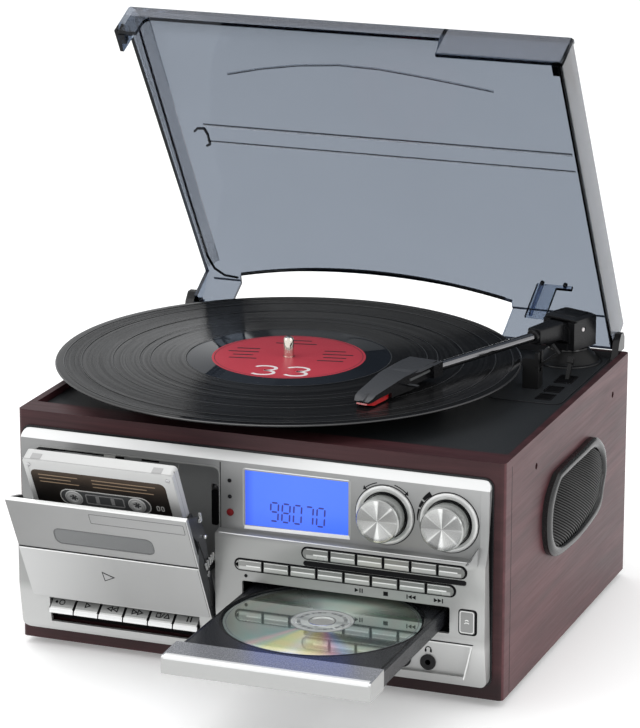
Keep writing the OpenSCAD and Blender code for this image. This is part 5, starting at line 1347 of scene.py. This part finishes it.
# --------------------------------------------------------------------- arm
def build_arm():
    c = Piece("arm_cap", "arm_carrier", "black_plastic", T_arm)
    # chamfered cap with an inset plate, and its side screw
    c.prism(rr(-13.6, 13.6, -9.2, 13.1, 2.0, 3), "z", 177.2, 178.2, "black")
    c.prism(rr(-13.4, 13.4, -9.0, 12.9, 2.0, 3), "z", 178.2, 179.6, "black", top=rr(-11.2, 11.2, -6.8, 10.7, 1.6, 3))
    c.ring(rr(-9.6, 9.6, -5.2, 9.1, 1.2, 3), rr(-9.0, 9.0, -4.6, 8.5, 1.0, 3), "z", 179.5, 179.8, "black_gloss")
    c.lathe([(0, 0), (1.4, 0), (1.4, 0.5), (1.0, 0.8), (0.35, 0.8), (0, 0.55)], (12.9, -1.4, 171), "x", "print_white", 20)
    c.prism([(-8.6, 163), (-8.6, 170.5), (-6.4, 173.5), (7.4, 173.5), (9.4, 170.5), (9.4, 163)], "y", -10.9, -10.2, "black")
    # step on its left side
    c.prism([(-17.3, 161), (-13.4, 161), (-13.4, 173.6), (-15.4, 173.6), (-17.3, 171.4)], "y", -5.0, 5.0, "black")
    c.done(0.35)
    t = Piece("arm_collar", "tonearm", "black_plastic", T_arm)
    # square neck between the block and the tube
    t.prism(rr(-5.3, 5.3, 165.6, 176.3, 1.6, 3), "y", -36.2, -13.0, "black", top=rr(-6.4, 6.4, 164.6, 176.9, 1.6, 3))
    t.lathe([(3.15, 0), (4.7, 0), (4.9, -0.4), (4.9, -1.8), (4.5, -2.4), (3.15, -2.4)], (0, -36.0, 171), "y", "black", 32)
    t.done(0.3)
    h = Piece("headshell_parts", "tonearm", "black_plastic", T_head)
    # stepped cover, side rib, finger lift and terminals
    h.prism([(-10.0, 2), (-11.6, -6), (-11.0, -20), (-8.6, -29), (8.8, -29), (11.8, -19), (12.2, -4), (10.2, 5)], "z", 174.6, 176.0,
            "head_top_painted_light", top=[(-8.4, 0), (-9.8, -6), (-9.2, -19), (-7.2, -26), (7.4, -26), (10.0, -18), (10.4, -4), (8.6, 3)])
    h.box((9.6, -31, 171.2), (10.9, -6, 172.6), "line_grey")
    for i, xx in enumerate((-4.5, -1.2, 2.1, 5.4)):
        h.tube([(xx, -22.6, 165.9 + (i % 2) * 0.5), (xx, -14.5, 166.3 + (i % 2) * 0.5)], 0.42, "chrome", 8)
    h.prism([(-2.2, -70), (-1.6, -74.2), (1.6, -74.2), (2.2, -70)], "z", 168.2, 171.2, "head_top_painted_light",
            top=[(-1.6, -66), (-1.2, -68.4), (1.2, -68.4), (1.6, -66)])
    h.done(0.3)
    d = Piece("deck_parts", "main", "black_plastic")
    zd = 146.9
    # raised plate under the arm, with the frames of the two switches and the lever slot
    d.prism(rr(263, 311.2, 141, 256.5, 6, 5), "z", zd - 0.1, zd + 0.55, "deck_black")
    d.ring(rr(262.7, 311.5, 140.7, 256.8, 6.3, 5), rr(263.2, 311.0, 141.2, 256.3, 5.8, 5), "z", zd + 0.3, zd + 0.75, "dark_grey")
    for yc in (154.5, 172.5):
        d.ring(rr(292.6, 303.4, yc - 6.6, yc + 6.6, 1.0, 3), rr(293.4, 302.6, yc - 5.8, yc + 5.8, 0.8, 3), "z",
               zd + 0.4, zd + 1.1, "black_gloss")
        d.prism(rr(293.5, 302.5, yc - 5.7, yc + 5.7, 0.8, 3), "z", zd + 0.5, zd + 0.62, "void_black")
    d.ring(rr(292.6, 304.6, 187.6, 205.4, 1.0, 3), rr(293.4, 303.8, 188.4, 204.6, 0.8, 3), "z", zd + 0.4, zd + 1.1, "black_gloss")
    d.prism(rr(293.5, 303.7, 188.5, 204.5, 0.8, 3), "z", zd + 0.5, zd + 0.62, "void_black")
    d.done(0.2)
    b = Piece("arm_base_rings", "main", "black_plastic")
    b.lathe([(21.8, 0.4), (22.4, 1.2), (22.0, 1.9), (20.6, 2.2), (20.2, 1.6)], (286, 242, zd - 0.3), "z", "black", 64)
    b.lathe([(13.2, 9.4), (14.0, 9.9), (13.6, 10.9), (12.4, 11.0)], (286, 242, zd), "z", "black_gloss", 64)
    b.done()


# ---------------------------------------------------------------- speakers
def build_grilles():
    mesh = [(173, 111), (188.6, 102), (193.5, 90), (189, 82), (181, 71), (149.5, 66), (121, 66), (99, 68.5),
            (88, 76), (84, 86.4), (86.3, 99), (96.2, 110), (106.8, 112), (146, 112)]
    outer = [(176, 117.4), (195.6, 105.6), (200.4, 90.4), (194.8, 77.0), (185.6, 64.8), (150.2, 60.0), (119.6, 60.0),
             (95.6, 62.8), (80.4, 71.0), (74.6, 86.0), (77.4, 103.4), (92.4, 115.6), (105.6, 117.6), (146, 117.8)]

    def smooth_loop(pts, n=5):
        """Closed loop with rounded corners through the given points."""
        out = []
        m = len(pts)
        for i in range(m):
            p0, p1, p2, p3 = (Vector(pts[(i + j - 1) % m]) for j in range(4))
            for j in range(n):
                t = j / n
                q = 0.5 * ((2 * p1) + (p2 - p0) * t + (2 * p0 - 5 * p1 + 4 * p2 - p3) * t * t
                           + (3 * p1 - p0 - 3 * p2 + p3) * t * t * t)
                out.append((q.x, q.y))
        return out
    mesh_s = [tuple(p) for p in smooth_loop(mesh)]
    outer_s = [tuple(p) for p in smooth_loop(outer)]
    cy, cz = 139.0, 89.0

    def rho(y, z):
        """0 in the middle of the mesh, 1 on its outline."""
        a = math.atan2(z - cz, y - cy)
        best = None
        for i in range(len(mesh_s)):
            p, q = mesh_s[i], mesh_s[(i + 1) % len(mesh_s)]
            dx, dz = math.cos(a), math.sin(a)
            ex, ez = q[0] - p[0], q[1] - p[1]
            den = dx * ez - dz * ex
            if abs(den) < 1e-9:
                continue
            t = ((p[0] - cy) * ez - (p[1] - cz) * ex) / den
            u = ((p[0] - cy) * dz - (p[1] - cz) * dx) / den
            if t > 0 and -1e-6 <= u <= 1 + 1e-6 and (best is None or t < best):
                best = t
        return min(1.0, math.hypot(y - cy, z - cz) / best) if best else 0.0

    def dome(y, z):
        r = rho(y, z)
        return 3.4 + 4.9 * (1 - r ** 2.6)
    d = Vector((76.4, -40.1)).normalized()
    nrm = Vector((-d.y, d.x))
    lines = []
    for i in range(-34, 35):
        o = Vector((cy, cz)) + nrm * (i * 1.86 * abs(d.x))
        ts = []
        for j in range(len(mesh_s)):
            p, q = Vector(mesh_s[j]), Vector(mesh_s[(j + 1) % len(mesh_s)])
            e = q - p
            den = d.x * e.y - d.y * e.x
            if abs(den) < 1e-9:
                continue
            t = ((p.x - o.x) * e.y - (p.y - o.y) * e.x) / den
            u = ((p.x - o.x) * d.y - (p.y - o.y) * d.x) / den
            if 0 <= u <= 1:
                ts.append(t)
        if len(ts) < 2 or max(ts) - min(ts) < 3:
            continue
        lines.append((o, min(ts) + 0.4, max(ts) - 0.4))
    for name, x0, s in (("grille_right", 322.0, 1), ("grille_left", 0.0, -1)):
        p = Piece(name, "main", "black_plastic")
        # frame: rounded band standing off the cabinet
        k = p.mi("grille_frame")
        prof = [(0.0, 0.0), (0.0, 3.4), (0.18, 4.6), (0.42, 5.1), (0.72, 5.0), (0.90, 4.2), (1.0, 3.0), (1.0, 0.0)]
        rows = []
        for f_, h_ in prof:
            rows.append([p.v((x0 + s * h_, o_[0] + (m_[0] - o_[0]) * f_, o_[1] + (m_[1] - o_[1]) * f_))
                         for o_, m_ in zip(outer_s, mesh_s)])
        n = len(outer_s)
        for A, B in zip(rows, rows[1:] + rows[:1]):
            for i in range(n):
                j = (i + 1) % n
                p.f([A[i], A[j], B[j], B[i]], k)
        # dark domed backing
        kb = p.mi("void_black")
        ringsz = []
        for fr in (1.0, 0.9, 0.75, 0.55, 0.3):
            ringsz.append([p.v((x0 + s * (dome(cy + (q[0] - cy) * fr, cz + (q[1] - cz) * fr) - 1.15),
                                cy + (q[0] - cy) * fr, cz + (q[1] - cz) * fr)) for q in mesh_s])
        base = [p.v((x0 + s * 1.6, q[0], q[1])) for q in mesh_s]
        top = p.v((x0 + s * (dome(cy, cz) - 1.15), cy, cz))
        bot = p.v((x0 + s * 1.6, cy, cz))
        for A, B in zip([base] + ringsz, ringsz):
            for i in range(n):
                j = (i + 1) % n
                p.f([A[i], A[j], B[j], B[i]], kb)
        for i in range(n):
            j = (i + 1) % n
            p.f([ringsz[-1][i], ringsz[-1][j], top], kb)
            p.f([base[j], base[i], bot], kb)
        # slats
        ks = p.mi("mesh_bar")
        for o, t0, t1 in lines:
            m = max(3, int((t1 - t0) / 5))
            secs = []
            for i in range(m + 1):
                c_ = o + d * (t0 + (t1 - t0) * i / m)
                h_ = dome(c_.x, c_.y)
                a_, b_ = c_ - nrm * 0.44, c_ + nrm * 0.44
                secs.append([p.v((x0 + s * (h_ - 0.9), a_.x, a_.y)), p.v((x0 + s * (h_ - 0.12), a_.x, a_.y)),
                             p.v((x0 + s * h_, c_.x, c_.y)), p.v((x0 + s * (h_ - 0.12), b_.x, b_.y)),
                             p.v((x0 + s * (h_ - 0.9), b_.x, b_.y))])
            for A, B in zip(secs, secs[1:]):
                for q in range(5):
                    p.f([A[q], A[(q + 1) % 5], B[(q + 1) % 5], B[q]], ks)
            p.f(secs[0][::-1], ks)
            p.f(secs[-1], ks)
        p.done(smooth=40, replaces=["speaker_grilles"])


build_fascia()
button_ledges()
key_marks()
build_door()
build_cassette()
build_well()
build_disc()
build_record()
build_cover()
build_arm()
build_grilles()


# ------------------------------------------------------------------- stage
def make_stage():
    sc = bpy.context.scene
    me = bpy.data.meshes.new("floor")
    s = 12.0
    z = -0.005
    me.from_pydata([(-s, -s, z), (s, -s, z), (s, s, z), (-s, s, z)], [], [(0, 1, 2, 3)])
    fl = bpy.data.objects.new("floor", me)
    sc.collection.objects.link(fl)
    m, nt, b = new_mat("floor")
    setp(b, color=(0.90, 0.90, 0.90), rough=0.85, spec=0.1)
    nn = noise(nt, coords(nt), 2, 2)
    nt.links.new(mix(nt, nn, (0.94, 0.94, 0.94), (0.96, 0.96, 0.96)), b.inputs["Base Color"])
    setp(b, emit=(1, 1, 1), emit_s=0.22)
    me.materials.append(m)
    w = bpy.data.worlds.new("world")
    sc.world = w
    w.use_nodes = True
    bg = w.node_tree.nodes["Background"]
    wt = w.node_tree
    tc = nd(wt, "ShaderNodeTexCoord")
    dot = nd(wt, "ShaderNodeVectorMath", operation="DOT_PRODUCT")
    dot.inputs[1].default_value = (-0.36, 0.933, 0.0)
    wt.links.new(tc.outputs["Generated"], dot.inputs[0])
    sx = nd(wt, "ShaderNodeSeparateXYZ")
    wt.links.new(tc.outputs["Generated"], sx.inputs[0])
    # the studio is darker behind the object, except overhead and below the horizon
    back = ramp(wt, dot.outputs["Value"], [(0.0, (1, 1, 1)), (0.35, (0.8, 0.8, 0.8)), (0.72, (0.50, 0.51, 0.52)),
                                           (1.0, (0.46, 0.47, 0.48))])
    high = ramp(wt, sx.outputs[2], [(0.0, (0, 0, 0)), (0.42, (0, 0, 0)), (0.8, (1, 1, 1)), (1.0, (1, 1, 1))])
    azi = math_(wt, "ARCTAN2", sx.outputs[0], sx.outputs[1])
    card = ramp(wt, maprange(wt, azi, -0.60, -0.20, 0.0, 1.0), [
        (0.0, (0.74, 0.75, 0.76)), (0.477, (0.66, 0.67, 0.68)), (0.489, (0.04, 0.04, 0.042)), (0.520, (0.04, 0.04, 0.042)),
        (0.531, (0.15, 0.155, 0.16)), (1.0, (0.10, 0.105, 0.11))])
    back = mix(wt, maprange(wt, dot.outputs["Value"], 0.35, 0.72, 0.0, 1.0), back, card)
    col = mix(wt, high, back, (1.0, 1.0, 1.0))
    lp = nd(wt, "ShaderNodeLightPath")
    col = mix(wt, lp.outputs["Is Camera Ray"], col, (1.0, 1.0, 1.0))
    wt.links.new(col, bg.inputs[0])
    bg.inputs[1].default_value = 1.0

    def area(name, loc, target, size, power, size_y=None):
        d = bpy.data.lights.new(name, "AREA")
        d.energy = power
        d.size = size
        if size_y:
            d.shape = "RECTANGLE"
            d.size_y = size_y
        o = bpy.data.objects.new(name, d)
        sc.collection.objects.link(o)
        o.location = loc
        o.rotation_mode = "QUATERNION"
        o.rotation_quaternion = (Vector(target) - Vector(loc)).to_track_quat("-Z", "Y")
        return o

    area("top_soft", (-0.5, 0.1, 1.9), (0, 0, 0.1), 1.2, 9)
    area("key_left", (-1.5, -1.3, 1.2), (0, 0, 0.1), 0.9, 7, 1.2)
    area("fill_right", (1.9, -0.6, 1.1), (0.1, 0, 0.1), 0.8, 5, 1.2)
    sc.view_settings.view_transform = "Standard"
    sc.view_settings.look = "None"
    sc.view_settings.exposure = 0.0


make_stage()
